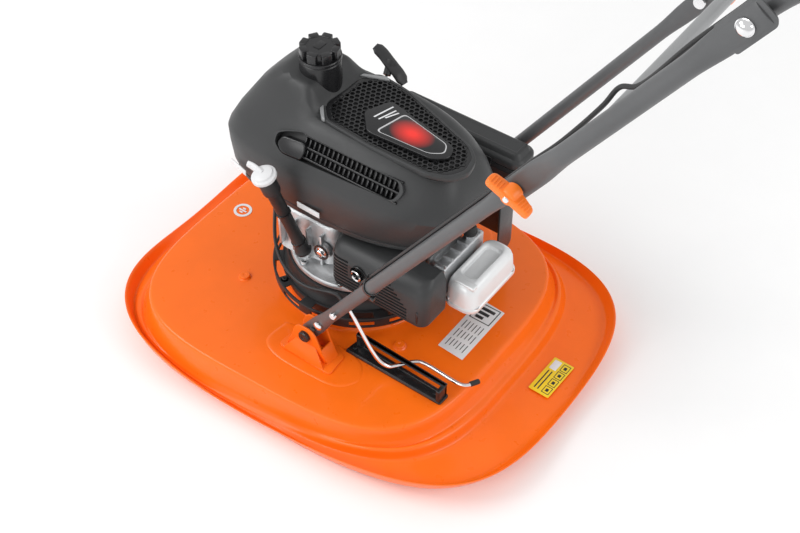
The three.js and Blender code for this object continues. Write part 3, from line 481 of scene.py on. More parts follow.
PAD = [(150, -34), (196, -36), (212, -10), (214, 60), (206, 110), (180, 128), (150, 112), (140, 40)]
bracket_pad = pad("bracket_pad_left", smooth_outline(PAD), 1.2)
mirrored(bracket_pad, "bracket_pad_right", "mower")

# ------------------------------------------------------------------ plates on the hood
rating_low, rating_high = box_mm("rating_plate")
RATING = [(rating_low.x + 1, rating_low.y + 1), (rating_high.x - 4, rating_low.y + 1),
          (rating_high.x - 1, rating_high.y - 1), (rating_low.x + 4, rating_high.y - 1)]
plate = prism("rating_plate_foil", RATING, DECK_Z + 0.2, DECK_Z + 0.8, "label_white", "mower",
              bevel=0.2)
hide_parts("rating_plate")
INK_Z = DECK_Z + 0.75


def ink(name, x, y, wide, deep, z=INK_Z, mat="ink", place=None):
    return block(name, (x, y, z), (x + wide, y + deep, z + 0.25), mat, "mower", place, bevel=0.05)


def frame_lines(name, x0, x1, y0, y1, width, z=INK_Z, place=None, mat="ink"):
    ink(name + "_a", x0, y0, x1 - x0, width, z, mat, place)
    ink(name + "_b", x0, y1 - width, x1 - x0, width, z, mat, place)
    ink(name + "_c", x0, y0 + width, width, y1 - y0 - 2 * width, z, mat, place)
    ink(name + "_d", x1 - width, y0 + width, width, y1 - y0 - 2 * width, z, mat, place)


frame_lines("rating_box", -62, -26, 189, 226, 1.6)
for index in range(3):
    ink(f"rating_bar_{index}", -56 + index * 9.5, 196, 6.0, 24 - index * 5)
for row in range(6):
    for column in range(3):
        ink(f"rating_line_{row}_{column}", -18 + column * 22, 191 + row * 6.2, 17 - (row * column) % 5,
            1.3)

warning_low, warning_high = box_mm("warning_label")
WARN_PLACE = Matrix.Translation(((warning_low + warning_high) / 2).xyz) @ Matrix.Rotation(-0.02, 4, "Z")
warning = prism("warning_film", rounded(-38, 38, -18, 18, 2), -0.3, 0.3, "label_yellow", "mower",
                WARN_PLACE, bevel=0.15)
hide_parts("warning_label")
for index in range(4):
    frame_lines(f"warning_cell_{index}", -34 + index * 17.4, -19 + index * 17.4, 2, 15, 1.1, 0.25,
                WARN_PLACE)
    ink(f"warning_mark_{index}", -29.5 + index * 17.4, 6, 6, 5, 0.25, "ink", WARN_PLACE)
ink("warning_panel_pale", -34, -14, 20, 12, 0.25, "label_white", WARN_PLACE)
for index in range(2):
    ink(f"warning_strip_{index}", -10, -12 + index * 6, 42, 2, 0.25, "ink", WARN_PLACE)

# The front emblem is a plain ring round a bar.
emblem = lathe("front_emblem_ring", [(11, 0.2), (15.5, 0.2), (15.5, 0.9), (11, 0.9)], "label_white",
               "mower", (0, -252, DECK_Z), loop=True)
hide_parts("front_emblem")
for index, x in enumerate((-4.5, 0.0, 4.5)):
    prism(f"front_emblem_bar_{index}", rounded(x - 1.4, x + 1.4, -260 + abs(x), -244 - abs(x), 1.2),
          DECK_Z + 0.2, DECK_Z + 0.9, "label_white", "mower", bevel=0.1)

# ------------------------------------------------------------------ intake ring under the engine
SLOT_UNITS = 14
UNIT_STEPS = 8
RING_CUTS = [2 * math.pi * i / (SLOT_UNITS * UNIT_STEPS) for i in range(SLOT_UNITS * UNIT_STEPS)]


def round_place(profile):
    return lambda a, k: (profile[k][0] * math.cos(a), profile[k][0] * math.sin(a), profile[k][1])


top_profile = [(120.5, RING_Z), (126, RING_Z), (137, RING_Z), (RING_R - 0.3, RING_Z),
               (RING_R, RING_Z - 3), (RING_R, RING_Z - 6), (RING_R - 1, RING_Z - 17),
               (RING_R - 2, RING_Z - 21)]
ring = lattice("intake_ring_slotted", round_place(top_profile), RING_CUTS, range(len(top_profile)),
               lambda i, j: i % UNIT_STEPS in range(1, 6) and j in (1, 5), "black_plastic", "mower",
               3.0, wrap=True, offset=-1.0, bevel=0.5)
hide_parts("intake_ring")
lathe("intake_ring_collar", [(104.5, 99.6), (121, 99.6), (122, 118), (121.4, 124), (118.6, 128),
                             (117.4, 140), (115.5, 149.4), (104.5, 149.4)],
      "black_plastic", "mower", count=96, loop=True, angle=30)
for index in range(SLOT_UNITS):
    angle = 2 * math.pi * (index + 0.88) / SLOT_UNITS
    hub = Vector((math.cos(angle) * 131, math.sin(angle) * 131, RING_Z))
    if index % 2 == 0:
        hex_bolt(f"ring_screw_{index}", hub, (0, 0, 1), 8, "mower", height=3.6, washer=6.5,
                 mat="black_gloss")

# ------------------------------------------------------------------ crankcase and its fittings
FLANGE_R = box_mm("crankcase")[1].x
lathe("crankcase_flange", [(70, 150.3), (FLANGE_R - 1.5, 150.3), (FLANGE_R, 152), (FLANGE_R, 158),
                           (FLANGE_R - 2, 160.5), (100, 161.5), (96, 163), (80, 168), (70, 169)],
                           "cast_alloy", "mower", count=96, loop=True, angle=40)
body_rings = []
for z, grow in ((160, 6), (166, 2), (172, 0), (222, -2), (236, -3), (239.5, -6)):
    body_rings.append([(x, y, z) for x, y in rounded(-80 - grow, 82 + grow, -98 - grow, 17, 24, 6)])
case = loft("crankcase_casting", body_rings, "cast_alloy", "mower", bevel=0.8, angle=30)
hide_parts("crankcase")
for index, angle_deg in enumerate((-80, -45, -20, 20, 60, 100, 140, 180, 220, 250)):
    a = math.radians(angle_deg)
    spot = Vector((math.cos(a) * 104, math.sin(a) * 104, 161))
    hex_bolt(f"flange_bolt_{index}", spot, (0, 0, 1), 10, "mower", height=5, washer=8)
for index, y in enumerate((-88, -62, -34, -8)):
    block(f"case_rib_{index}", (78, y - 2.2, 166), (90, y + 2.2, 226), "cast_alloy", "mower", bevel=1.0)
lathe("governor_boss", [(0, 0), (15, 0), (14, 5), (9, 6), (8.4, 9), (0, 9)], "cast_alloy", "mower",
      (82, -6, 196), (1, 0, 0), count=32)
hex_bolt("case_bolt", (91.4, -6, 196), (1, 0, 0), 11, "mower", height=5, washer=9, mat="chrome")
lathe("case_washer_ring", [(10, 0), (13.5, 0), (13.5, 1.5), (10, 1.5)], "black_gloss", "mower",
      (91, -6, 196), (1, 0, 0), loop=True, count=32)

# ------------------------------------------------------------------ engine cover
COVER_LEVELS = [
    # height, x from, x to, y from, y to, nose, tail, squareness
    (258, -103, 86, -190, 150, 0.10, 0.30, 5.0),
    (262, -106, 90, -194, 158, 0.10, 0.30, 5.0),
    (285, -109.5, 98, -201, 182, 0.10, 0.26, 5.0),
    (318, -110, 101, -204, 198, 0.10, 0.26, 5.0),
    (341, -109, 101.5, -205, 207, 0.10, 0.26, 5.0),
    (349, -107.5, 99.5, -203, 206, 0.10, 0.26, 4.8),
    (372, -102, 90, -191, 198, 0.11, 0.27, 4.6),
    (398, -94, 76, -155, 186, 0.13, 0.28, 4.2),
    (408, -88, 69, -135, 180, 0.14, 0.29, 4.0),
    (415, -81, 62, -120, 173, 0.16, 0.3, 3.8),
    (418, -74, 56, -112, 166, 0.18, 0.3, 3.6),
]
COVER_STEPS = 128
HUMP_RISE = 36
HUMP_FROM_Z, HUMP_CLIMB = 372, 46
HUMP_REAR_Y, HUMP_RAMP = -30, 30
HUMP_HALF_WIDTH, HUMP_SIDE = 76, 36
TOP_RINGS = 24


def hump(x, y, z):
    """How far the cover's front rises round the fuel cap."""
    across = ease((HUMP_HALF_WIDTH - abs(x - CAP_C.x)) / HUMP_SIDE)
    ahead = ease((HUMP_REAR_Y - y) / HUMP_RAMP)
    return HUMP_RISE * ease((z - HUMP_FROM_Z) / HUMP_CLIMB) * ahead * across


def cover_ring(level, inset=0.0):
    z, x0, x1, y0, y1, nose, tail, n = level
    x0, x1, y0, y1 = x0 + inset, x1 - inset, y0 + inset, y1 - inset
    cx, cy, a, b = (x0 + x1) / 2, (y0 + y1) / 2, (x1 - x0) / 2, (y1 - y0) / 2
    fall = TOP_FALL * ease((z - 372) / 40)
    ring_points = []
    for i in range(COVER_STEPS):
        t = 2 * math.pi * i / COVER_STEPS
        x = math.copysign(abs(math.cos(t)) ** (2 / n), math.cos(t))
        y = math.copysign(abs(math.sin(t)) ** (2 / n), math.sin(t))
        narrow = 1 - (tail if y > 0 else nose) * y * y
        py = cy + b * y
        px = cx + a * x * narrow
        ring_points.append((px, py, z - fall * py + hump(px, py, z)))
    return ring_points


def cover_top():
    """Rings that close the top from its edge to the middle, following the hump."""
    z, x0, x1, y0, y1 = COVER_LEVELS[-1][:5]
    cx, cy = (x0 + x1) / 2, (y0 + y1) / 2
    edge = cover_ring(COVER_LEVELS[-1])
    rings = []
    for k in range(1, TOP_RINGS):
        scale = 1 - k / TOP_RINGS
        spots = [(cx + (x - cx) * scale, cy + (y - cy) * scale) for x, y, _ in edge]
        rings.append([(x, y, z - TOP_FALL * y + hump(x, y, z)) for x, y in spots])
    return rings


def tilt(z):
    """The frame of the cover's top, which falls a little to the rear."""
    return Matrix.Translation((0, 0, z)) @ Matrix.Rotation(-math.atan(TOP_FALL), 4, "X")


GRILLE = [(-50, -30), (24, -34), (46, -12), (50, 60), (46, 150), (34, 178), (12, 190), (-14, 184),
          (-30, 165), (-68, 40), (-72, -6)]
GRILLE_C = (-10, 75)


def grille_outline(scale):
    return [(GRILLE_C[0] + (x - GRILLE_C[0]) * scale, GRILLE_C[1] + (y - GRILLE_C[1]) * scale)
            for x, y in GRILLE]


def rounded_corners(outline, radius, steps=4):
    """The outline with each corner replaced by a short curve."""
    points = []
    count = len(outline)
    for i, corner in enumerate(outline):
        p = Vector(corner)
        before = Vector(outline[i - 1]) - p
        after = Vector(outline[(i + 1) % count]) - p
        reach = min(radius, before.length * 0.4, after.length * 0.4)
        a = p + before.normalized() * reach
        b = p + after.normalized() * reach
        for j in range(steps + 1):
            t = j / steps
            q = a * (1 - t) ** 2 + p * 2 * t * (1 - t) + b * t * t
            points.append((q.x, q.y))
    return points


def cutter(points, faces, name="cutter"):
    mesh = bpy.data.meshes.new(name)
    mesh.from_pydata([Vector(p) * MM for p in points], [], faces)
    fix = bmesh.new()
    fix.from_mesh(mesh)
    bmesh.ops.recalc_face_normals(fix, faces=fix.faces)
    fix.to_mesh(mesh)
    fix.free()
    obj = bpy.data.objects.new(name, mesh)
    bpy.context.scene.collection.objects.link(obj)
    return obj


def prism_cutter(outline, z0, z1, place=None):
    matrix = place or Matrix.Identity(4)
    return cutter(*loft_data([[matrix @ Vector((x, y, z)) for x, y in outline] for z in (z0, z1)]))


# The louvre pocket lies on the near slope, in its own frame: u runs back, v up the slope.
POCKET_C = Vector((81, 28, 384))
POCKET_U = Vector((-0.03, 1, -0.035)).normalized()
POCKET_N = Vector((0.86, 0.0, 0.51)).normalized()
POCKET_N = (POCKET_N - POCKET_U * POCKET_N.dot(POCKET_U)).normalized()
POCKET_V = POCKET_N.cross(POCKET_U)
POCKET = Matrix.Translation(POCKET_C) @ Matrix((
    (POCKET_U.x, POCKET_V.x, POCKET_N.x, 0), (POCKET_U.y, POCKET_V.y, POCKET_N.y, 0),
    (POCKET_U.z, POCKET_V.z, POCKET_N.z, 0), (0, 0, 0, 1)))
POCKET_OUTLINE = [(-112, -13), (-96, -24), (-60, -22), (96, -14), (104, 4), (96, 17), (-74, 19),
                  (-98, 10), (-112, 2)]

cover_points, cover_faces = loft_data([cover_ring(level) for level in COVER_LEVELS] + cover_top())
cover = make("engine_cover_shell", cover_points, cover_faces, "cover_grey", "mower", angle=24,
             cutters=(prism_cutter(rounded_corners(grille_outline(1.04), 9), -7, 40, tilt(TOP_Z - 3)),
                      prism_cutter(rounded_corners(POCKET_OUTLINE, 8), -16, 60, POCKET),
                      prism_cutter([(CAP_C.x + 30.5 * math.cos(2 * math.pi * i / 48),
                                     CAP_C.y + 30.5 * math.sin(2 * math.pi * i / 48))
                                     for i in range(48)], 410, 480),))
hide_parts("engine_cover")

# Honeycomb grille: open hexagonal cells inside the outline, left solid round the badge.
BADGE = [(-36, 34), (8, 16), (38, 44), (27, 150), (10, 168), (-12, 160)]
CELL = 4.9


def inside(point, outline):
    hit = False
    for i, (x1, y1) in enumerate(outline):
        x0, y0 = outline[i - 1]
        if (y0 > point[1]) != (y1 > point[1]):
            if point[0] < (x1 - x0) * (point[1] - y0) / (y1 - y0) + x0:
                hit = not hit
    return hit


def hexagon(x, y, r):
    return [(x + r * math.cos(math.pi * k / 3), y + r * math.sin(math.pi * k / 3)) for k in range(6)]


def grown(outline, scale):
    cx = sum(p[0] for p in outline) / len(outline)
    cy = sum(p[1] for p in outline) / len(outline)
    return [(cx + (x - cx) * scale, cy + (y - cy) * scale) for x, y in outline]


def honeycomb():
    points, faces = [], []
    edge = grille_outline(0.99)
    for column in range(-16, 17):
        for row in range(-20, 21):
            x = GRILLE_C[0] + column * CELL * 1.5
            y = GRILLE_C[1] + (row + 0.5 * (column % 2)) * CELL * math.sqrt(3)
            if not inside((x, y), edge) or inside((x, y), grown(BADGE, 0.9)):
                continue
            start = len(points)
            outer, inner = hexagon(x, y, CELL), hexagon(x, y, CELL * 0.76)
            points += [(px, py, 0) for px, py in outer + inner]
            faces += [(start + k, start + (k + 1) % 6, start + 6 + (k + 1) % 6, start + 6 + k)
                      for k in range(6)]
    return points, faces


def place_points(points, matrix):
    return [matrix @ Vector(p) for p in points]


comb_points, comb_faces = honeycomb()
comb = make("grille_honeycomb", place_points(comb_points, tilt(TOP_Z - 5)), comb_faces, "black_gloss",
            "mower", thick=3.0, offset=0.0, bevel=0.0, angle=20)
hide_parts("recoil_grille")


def band(name, outer, inner, z_low, z_high, mat, matrix, bevel=0.5, **more):
    rings = [[matrix @ Vector((x, y, z)) for x, y in line]
             for line, z in ((outer, z_low), (outer, z_high), (inner, z_high), (inner, z_low))]
    return loft(name, rings, mat, "mower", loop=True, bevel=bevel, **more)


TOP = tilt(TOP_Z)
band("grille_frame", rounded_corners(grille_outline(1.05), 9), rounded_corners(grille_outline(0.97), 8),
     -12, -4.2, "black_gloss", TOP)
band("grille_lip", rounded_corners(grille_outline(1.115), 10), rounded_corners(grille_outline(1.045),
        9), -12, -3.2, "cover_grey", TOP, bevel=1.4, segments=3)
prism("grille_floor", rounded_corners(grille_outline(1.03), 8), -22, -19, "black_plastic", "mower", TOP)
for index, (a, b, wide) in enumerate((((-73, 4), (-55, -37), 7), ((27, -41), (53, -18), 6))):
    start, end = Vector(a), Vector(b)
    along = (end - start).normalized()
    out = Vector((along.y, -along.x))
    bar = [start, end, end + out * wide * 0.7 - along * 4, start + out * wide + along * 6]
    prism(f"grille_accent_{index}", [(p.x, p.y) for p in bar], -8, -1.0, "accent_grey", "mower", TOP,
          bevel=1.0, segments=3)

# Badge: a plain shield with a silver border and a soft red glow.
BADGE_PLACE = tilt(TOP_Z - 1)
badge = prism("badge_plate", rounded_corners(BADGE, 9, 6), -3.5, 2.6, "black_gloss", "mower",
              BADGE_PLACE, bevel=1.6, segments=3)
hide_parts("name_badge")
shield = rounded_corners(grown([(-24, 66), (30, 54), (22, 140), (8, 158), (-9, 150)], 1.0), 8, 6)
band("badge_border", shield, grown(shield, 0.955), 2.5, 3.1, "chrome", BADGE_PLACE, bevel=0.15)


def glow_material():
    mat = principled("badge_red", (0.02, 0.02, 0.022), 0.3, grain=(900.0, 0.01))
    tree = mat.node_tree
    shader = tree.nodes["Principled BSDF"]
    place = node(tree, "ShaderNodeTexCoord")
    shift = node(tree, "ShaderNodeMapping")
    shift.inputs["Location"].default_value = (-0.003 / 0.026, -0.098 / 0.036, -0.422 / 0.03)
    shift.inputs["Scale"].default_value = (1 / 0.026, 1 / 0.036, 1 / 0.03)
    tree.links.new(place.outputs["Object"], shift.inputs["Vector"])
    ball = node(tree, "ShaderNodeTexGradient", gradient_type="SPHERICAL")
    tree.links.new(shift.outputs["Vector"], ball.inputs["Vector"])
    ramp = node(tree, "ShaderNodeValToRGB")
    ramp.color_ramp.elements[0].color = (0.012, 0.012, 0.013, 1)
    ramp.color_ramp.elements[1].color = (0.85, 0.03, 0.02, 1)
    ramp.color_ramp.elements[1].position = 0.85
    tree.links.new(ball.outputs["Fac"], ramp.inputs["Fac"])
    tree.links.new(ramp.outputs["Color"], shader.inputs["Base Color"])


glow_material()
prism("badge_face", grown(shield, 0.95), 2.3, 2.75, "badge_red", "mower", BADGE_PLACE, bevel=0.1)
for index, (x, y, wide) in enumerate(((-26, 40, 34), (-22, 48, 30), (-20, 54, 20))):
    prism(f"badge_stripe_{index}", [(x, y + 3), (x + wide, y - 6), (x + wide, y - 3.6), (x, y + 5.4)],
          2.5, 2.9, "label_white", "mower", BADGE_PLACE, bevel=0.1)

# Louvre pocket: a dark bed with two rows of upright fins, rails and a scoop at its front.
bed = prism("louvre_bed", grown(POCKET_OUTLINE, 0.99), -15.5, -12.5, "black_plastic", "mower", POCKET)
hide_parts("side_louvre")
band("louvre_rim", rounded_corners(grown(POCKET_OUTLINE, 1.03), 8),
     rounded_corners(grown(POCKET_OUTLINE, 0.985), 7), -13, -0.2, "cover_grey", POCKET, bevel=0.8,
     segments=3)
for row, (v0, v1) in enumerate(((-13, -3), (2, 13))):
    for index in range(20):
        u = -66 + index * 8.1
        block(f"louvre_fin_{row}_{index}", (u, v0, -13), (u + 2.6, v1, -4.2), "black_gloss", "mower",
              POCKET, bevel=0.5)
for index, v in enumerate((-17.0, -1.4, 15.0)):
    block(f"louvre_rail_{index}", (-70, v, -13), (101, v + 3.0, -2.8), "black_gloss", "mower", POCKET,
          bevel=0.8)
scoop = [(-106, -11), (-96, -22), (-62, -21), (-58, -6), (-62, 6), (-100, 2)]
prism("louvre_scoop", rounded_corners(scoop, 6), -13, 1.6, "black_gloss", "mower", POCKET, bevel=2.0,
      segments=3)

# Seam round the hem and the two pale strips on it.
hem = [cover_ring((261, -107, 91, -195, 160, 0.10, 0.30, 5.0), -0.2), cover_ring((266, -108, 93, -197,
        166, 0.10, 0.29, 5.0), -0.4)]
loft("cover_hem", [[(x, y, 259) for x, y, z in hem[0]], hem[0], hem[1], [(x, y, 270) for x, y,
        z in hem[1]]], "cover_grey", "mower", caps=False, thick=1.2, angle=30)
for index, (a, b) in enumerate((((86, -178), (95.5, -142)), ((101.5, -38), (102.6, 4)))):
    start, end = Vector((*a, 287)), Vector((*b, 287))
    along = (end - start).normalized()
    matrix = Matrix.Translation(start) @ Matrix(((along.x, along.y, 0, 0), (along.y, -along.x, 0, 0),
                                                 (0, 0, -1, 0), (0, 0, 0, 1)))
    block(f"cover_strip_{index}", (0, -1.0, -5), ((end - start).length, 0.5, 5), "label_white", "mower",
          matrix, bevel=0.3)

# Fuel neck and cap.
neck_profile = [(20.5, -87), (31, -87), (31, -24), (29.5, -22.2), (20.5, -22.2)]
lathe("fuel_neck", neck_profile, "black_gloss", "mower", (CAP_C.x, CAP_C.y, CAP_HIGH.z), loop=True,
             count=64, angle=30)
cap = lathe("fuel_cap_body", [(0, -20.4), (24, -20.4), (24, -21.8), (CAP_R - 0.6, -21.8),
                              (CAP_R, -20.8), (CAP_R, -17.8), (CAP_R - 1, -16.6), (24.5, -16.2),
                              (24.5, -4), (23, -2.2), (0, -1.8)], "black_gloss", "fuel_cap",
                              (CAP_C.x, CAP_C.y, CAP_HIGH.z), count=72, angle=30)
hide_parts("fuel_cap")
for index in range(8):
    angle = 2 * math.pi * (index + 0.3) / 8
    matrix = Matrix.Translation((CAP_C.x, CAP_C.y, CAP_HIGH.z)) @ Matrix.Rotation(angle, 4, "Z")
    block(f"fuel_cap_rib_{index}", (19, -7.2, -17), (29.6, 7.2, -0.9), "black_gloss", "fuel_cap",
          matrix, bevel=1.6, segments=3)
prism("fuel_cap_mark", rounded(CAP_C.x - 9, CAP_C.x + 9, CAP_C.y - 6, CAP_C.y + 6, 2), CAP_HIGH.z - 2,
      CAP_HIGH.z - 1.1, "black_gloss", "fuel_cap", bevel=0.3)


# ------------------------------------------------------------------ starter grip and rope
def joined_boxes(boxes):
    """One mesh of separate boxes, used to cut many slots at once."""
    points, faces = [], []
    for low, high in boxes:
        box_points, box_faces = loft_data([[(x, y, z) for x, y in (
            (low[0], low[1]), (high[0], low[1]), (high[0], high[1]), (low[0], high[1]))]
            for z in (low[2], high[2])])
        faces += [tuple(i + len(points) for i in face) for face in box_faces]
        points += box_points
    return cutter(points, faces)


ROPE_DIR = Vector((0.757, 0.163, -0.633)).normalized()
GRIP = Vector((-128, -36, 402))
grip_path = curve_points([GRIP + Vector(p) for p in (
    (-3, -31, 17), (-4, -18, 9), (0, 0, 0), (2, 16, -10), (4, 29, -23))], 8)
grip = sweep("starter_grip_bar", grip_path,
             lambda f: (4.8 * (0.55 + 0.45 * ease(8 * min(f, 1 - f))) + 0.5 * math.cos(f * 25),
                        11.2 * (0.6 + 0.4 * ease(8 * min(f, 1 - f)))),
             "black_plastic", "starter_grip", count=28, angle=45)
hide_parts("starter_grip")
lathe("starter_grip_neck", [(0, -4), (9.5, -4), (8.4, 3), (6.6, 8), (6.0, 18.4), (4.6, 18.8),
                            (0, 18.8)], "black_plastic", "starter_grip", GRIP, ROPE_DIR, count=32,
                            angle=40)
rope = sweep("starter_rope_cord", straight(GRIP + ROPE_DIR * 18, GRIP + ROPE_DIR * 92, 60),
             lambda f: (2.0 + 0.18 * math.sin(f * 120), 2.0 - 0.18 * math.sin(f * 120)),
             "rubber", "starter_grip", count=12)
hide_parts("starter_rope")
lathe("starter_rope_bush", [(3.2, -5), (8.5, -5), (9, -2), (6, 1.5), (3.2, 1.5)], "black_gloss",
      "mower", GRIP + ROPE_DIR * 42, -ROPE_DIR, count=32, loop=True, angle=40)

# ------------------------------------------------------------------ air cleaner and carburettor
AIR_LOW, AIR_HIGH = box_mm("air_cleaner_box")
LID_LOW, LID_HIGH = box_mm("air_cleaner_cover")


def rounded_rings(levels, x0, x1, y0, y1, r, steps=6):
    """Rounded outlines in plan, each drawn in by its own amount."""
    return [[(x, y, z) for x, y in rounded(x0 + inset, x1 - inset, y0 + inset, y1 - inset,
                                          max(r - inset, 2), steps)] for z, inset in levels]


air_levels = [(252, 7), (254, 4), (258, 2.6), (306, 0.6), (308, -0.6), (317.6, -0.6), (317.6, 3),
              (257, 5)]
air_box = loft("air_cleaner_case", rounded_rings(air_levels, -166, -116, AIR_LOW.y, AIR_HIGH.y, 13),
               "black_plastic", "mower", bevel=0.8, angle=30)
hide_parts("air_cleaner_box")
lid_levels = [(318.4, 3), (318.4, 0.6), (320, 0), (328, 0), (330.5, 1.6), (333, 6), (338.5, 8.6),
              (341.3, 12), (341.6, 15), (340.4, 16.6), (340.4, 19)]
lid = loft("air_cleaner_lid", rounded_rings(lid_levels, LID_LOW.x, LID_HIGH.x, LID_LOW.y, LID_HIGH.y,
                                            17, 8), "cover_grey", "mower", bevel=0.5, angle=30)
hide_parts("air_cleaner_cover")
for index, y in enumerate((20, 150)):
    block(f"air_clip_{index}", (-169.5, y - 9, 303), (-166.6, y + 9, 326), "black_gloss", "mower",
          bevel=1.2)
    block(f"air_clip_front_{index}", (-115.6, y - 9, 303), (-112.8, y + 9, 326), "black_gloss", "mower",
          bevel=1.2)
for index in range(9):
    y = -8 + index * 23.5
    block(f"air_rib_{index}", (-168, y - 1.4, 262), (-164.4, y + 1.4, 302), "black_plastic", "mower",
          bevel=0.6)
block("air_cleaner_snout", (-150, 100, 227), (-66, 132, 253.6), "black_plastic", "mower", bevel=5,
      segments=4)

carb = block("carburettor_body", (-100, 92, 191), (-62, 140, 226), "cast_alloy", "mower", bevel=3,
             segments=3)
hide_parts("carburettor")
lathe("float_bowl", [(0, 166), (13, 166), (16.4, 169), (17, 173), (17, 187), (18.6, 188), (18.6, 191),
                     (0, 191)], "zinc", "mower", (-82, 116, 0), count=48, angle=30)
hex_bolt("bowl_nut", (-82, 116, 166.5), (0, 0, -1), 10, "mower", height=4)
lathe("intake_tube", [(0, 0), (15, 0), (15, 3), (12, 3.6), (12, 13), (0, 13)], "black_plastic", "mower",
      (-63.5, 116, 206), (1, 0, 0), count=32)
block("choke_lever", (-104, 88, 224), (-96, 128, 226.5), "zinc", "mower", bevel=0.6)
hex_bolt("choke_pin", (-100, 96, 226.4), (0, 0, 1), 7, "mower", height=3)
GUIDE_Z = box_mm("rear_air_guide")
rear_line = rounded_corners([(-164, 100), (-160, 100), (-158.5, 172), (-150, 175.5), (-100, 186),
                             (-100, 189.6), (-153, 178.6), (-163.5, 175)], 3)
guide_wall = prism("rear_guide_wall", rear_line, GUIDE_Z[0].z, GUIDE_Z[1].z, "cover_grey", "mower",
                   bevel=0.8)
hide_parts("rear_air_guide")

# ------------------------------------------------------------------ cylinder, head and valve cover
barrel = block("cylinder_barrel", (-40, 17.4, 176), (26, 165, 224), "cast_alloy", "mower", bevel=6,
               segments=4)
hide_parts("cylinder_block")
for index in range(13):
    y = 30 + index * 10.2
    prism(f"cooling_fin_{index}", rounded(-50, 36, 167, 233, 11), y, y + 2.6, "cast_alloy", "mower",
          Matrix(((1, 0, 0, 0), (0, 0, 1, 0), (0, 1, 0, 0), (0, 0, 0, 1))), bevel=0.5)
head = block("cylinder_head_casting", (-62, 165.4, 162), (42, 186, 232), "cast_alloy", "mower", bevel=3,
             segments=3)
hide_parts("cylinder_head")
for index in range(6):
    x = -56 + index * 18.4
    block(f"head_fin_{index}", (x, 167, 230), (x + 3, 185, 238), "cast_alloy", "mower", bevel=0.9)
valve_rings = []
for z, inset, r in ((172, 3, 18), (174, 0, 18), (179, 0, 18), (180.5, 2, 17), (206, 3.4, 17),
                    (212, 5, 17),
                    (216.6, 8, 16), (219.4, 12, 14), (220, 15, 12)):
    valve_rings.append([(x, y, z) for x, y in rounded(-76 + inset, 50 - inset, 186.6 + inset * 0.6,
            243 - inset, r, 6)])
for z, inset, r in ((219.6, 0, 9), (217.4, 2.4, 8), (213.4, 3.6, 7)):
    valve_rings.append([(x, y, z) for x, y in rounded(-54 + inset, 22 - inset, 197 + inset, 228 - inset,
            r, 6)])
valves = loft("valve_cover_pressing", valve_rings, "silver_paint", "mower", bevel=0.8, segments=3,
              angle=40)
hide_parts("valve_cover")
block("valve_cover_step", (28, 200, 214), (40, 236, 221.4), "silver_paint", "mower", bevel=2.6,
      segments=4)
for index, (x, y) in enumerate(((-69, 196), (43, 196), (-60, 236), (34, 236))):
    hex_bolt(f"valve_cover_bolt_{index}", (x, y, 181), (0, 0, 1), 8, "mower", height=5, washer=6.4)

SPARK = middle("spark_plug")
SPARK_LOW = box_mm("spark_plug")[0].z
plug = lathe("spark_plug_shell", [(0, 0), (5.2, 0), (5.2, 8.6), (9.6, 9), (9.6, 16.6), (6, 17),
                                  (5, 22.6), (0, 22.6)], "zinc", "mower", (SPARK.x, SPARK.y, SPARK_LOW),
                                  count=6, angle=25)
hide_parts("spark_plug")
boot_place = (SPARK.x, SPARK.y, 240.6)
boot = lathe("plug_boot_body", [(0, 0), (10.2, 0), (11, 2), (11, 5), (9.8, 6), (9.8, 12), (8, 15.6),
                                (4, 16.8), (0, 17)], "rubber", "mower", boot_place, count=32, angle=40)
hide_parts("plug_boot")
sweep("plug_lead", curve_points([(SPARK.x - 4, SPARK.y - 4, 250), (-50, 163, 249), (-63, 148, 247),
                                 (-70, 128, 256), (-74, 100, 262)], 8),
      lambda f: (3.6, 3.6), "rubber", "mower", count=14)

# ------------------------------------------------------------------ muffler and its guard
muffler_rings = [[(x, y, z) for x, y in rounded(54 + i, 96 - i, 44 + i, 178 - i, 16, 6)] for z,
                 i in ((172, 5), (174, 1.6), (178, 0), (200, 0), (200.6, -2), (203.4, -2), (204, 0),
                       (226, 0), (230, 1.6), (232, 5))]
muffler = loft("muffler_can", muffler_rings, "zinc", "mower", bevel=0.5, angle=30)
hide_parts("muffler")
lathe("exhaust_stub", [(0, 0), (12, 0), (12, 22), (0, 22)], "cast_alloy", "mower", (37, 100, 205),
      (1, 0, 0), count=32)
OUTLET_DIR = Vector((24, -3, 0)).normalized()
lathe("muffler_outlet", [(6.0, 0), (8, 0), (8, 20), (9.6, 22), (9.8, 24), (8.6, 25), (6.6, 24),
                         (6, 20)], "chrome", "mower", (90, 80, 214), OUTLET_DIR, count=40, loop=True,
                         angle=40)



def guard_ring(z, x1, y0, y1, r, x0=56.0):
    points = [(x0, y0, z)]
    for cx, cy, start in ((x1 - r, y0 + r, -90), (x1 - r, y1 - r, 0)):
        for i in range(7):
            a = math.radians(start + 15 * i)
            points.append((cx + r * math.cos(a), cy + r * math.sin(a), z))
    return points + [(x0, y1, z)]


guard_outer = [guard_ring(168, 107.6, 27, 195, 14), guard_ring(170, 109, 25, 197, 15),
               guard_ring(178, 109.8, 22.6, 198.6, 16), guard_ring(222, 107.6, 22.4, 198.8, 17),
               guard_ring(234, 104, 23, 198, 17), guard_ring(243, 97, 25, 195, 16),
               guard_ring(247.6, 88, 29, 191, 14)]
SLOT_Z = [174 + 6.2 * k for k in range(9)]
slot_boxes = [((97, 30, z), (125, 166 if k < 4 else 58, z + 3.6)) for k, z in enumerate(SLOT_Z)]
slot_boxes += [((97, 98, z), (125, 166 - 6 * (k - 3), z + 3.6)) for k, z in enumerate(SLOT_Z) if k > 3]
slot_boxes.append(((88, 44, 236), (99, 142, 239.2)))
recess = [[(x, 78 + 14 * math.cos(2 * math.pi * i / 32), 213 + 14 * math.sin(2 * math.pi * i / 32))
           for i in range(32)] for x in (97, 125)]
guard_points, guard_faces = loft_data(guard_outer, caps=False)
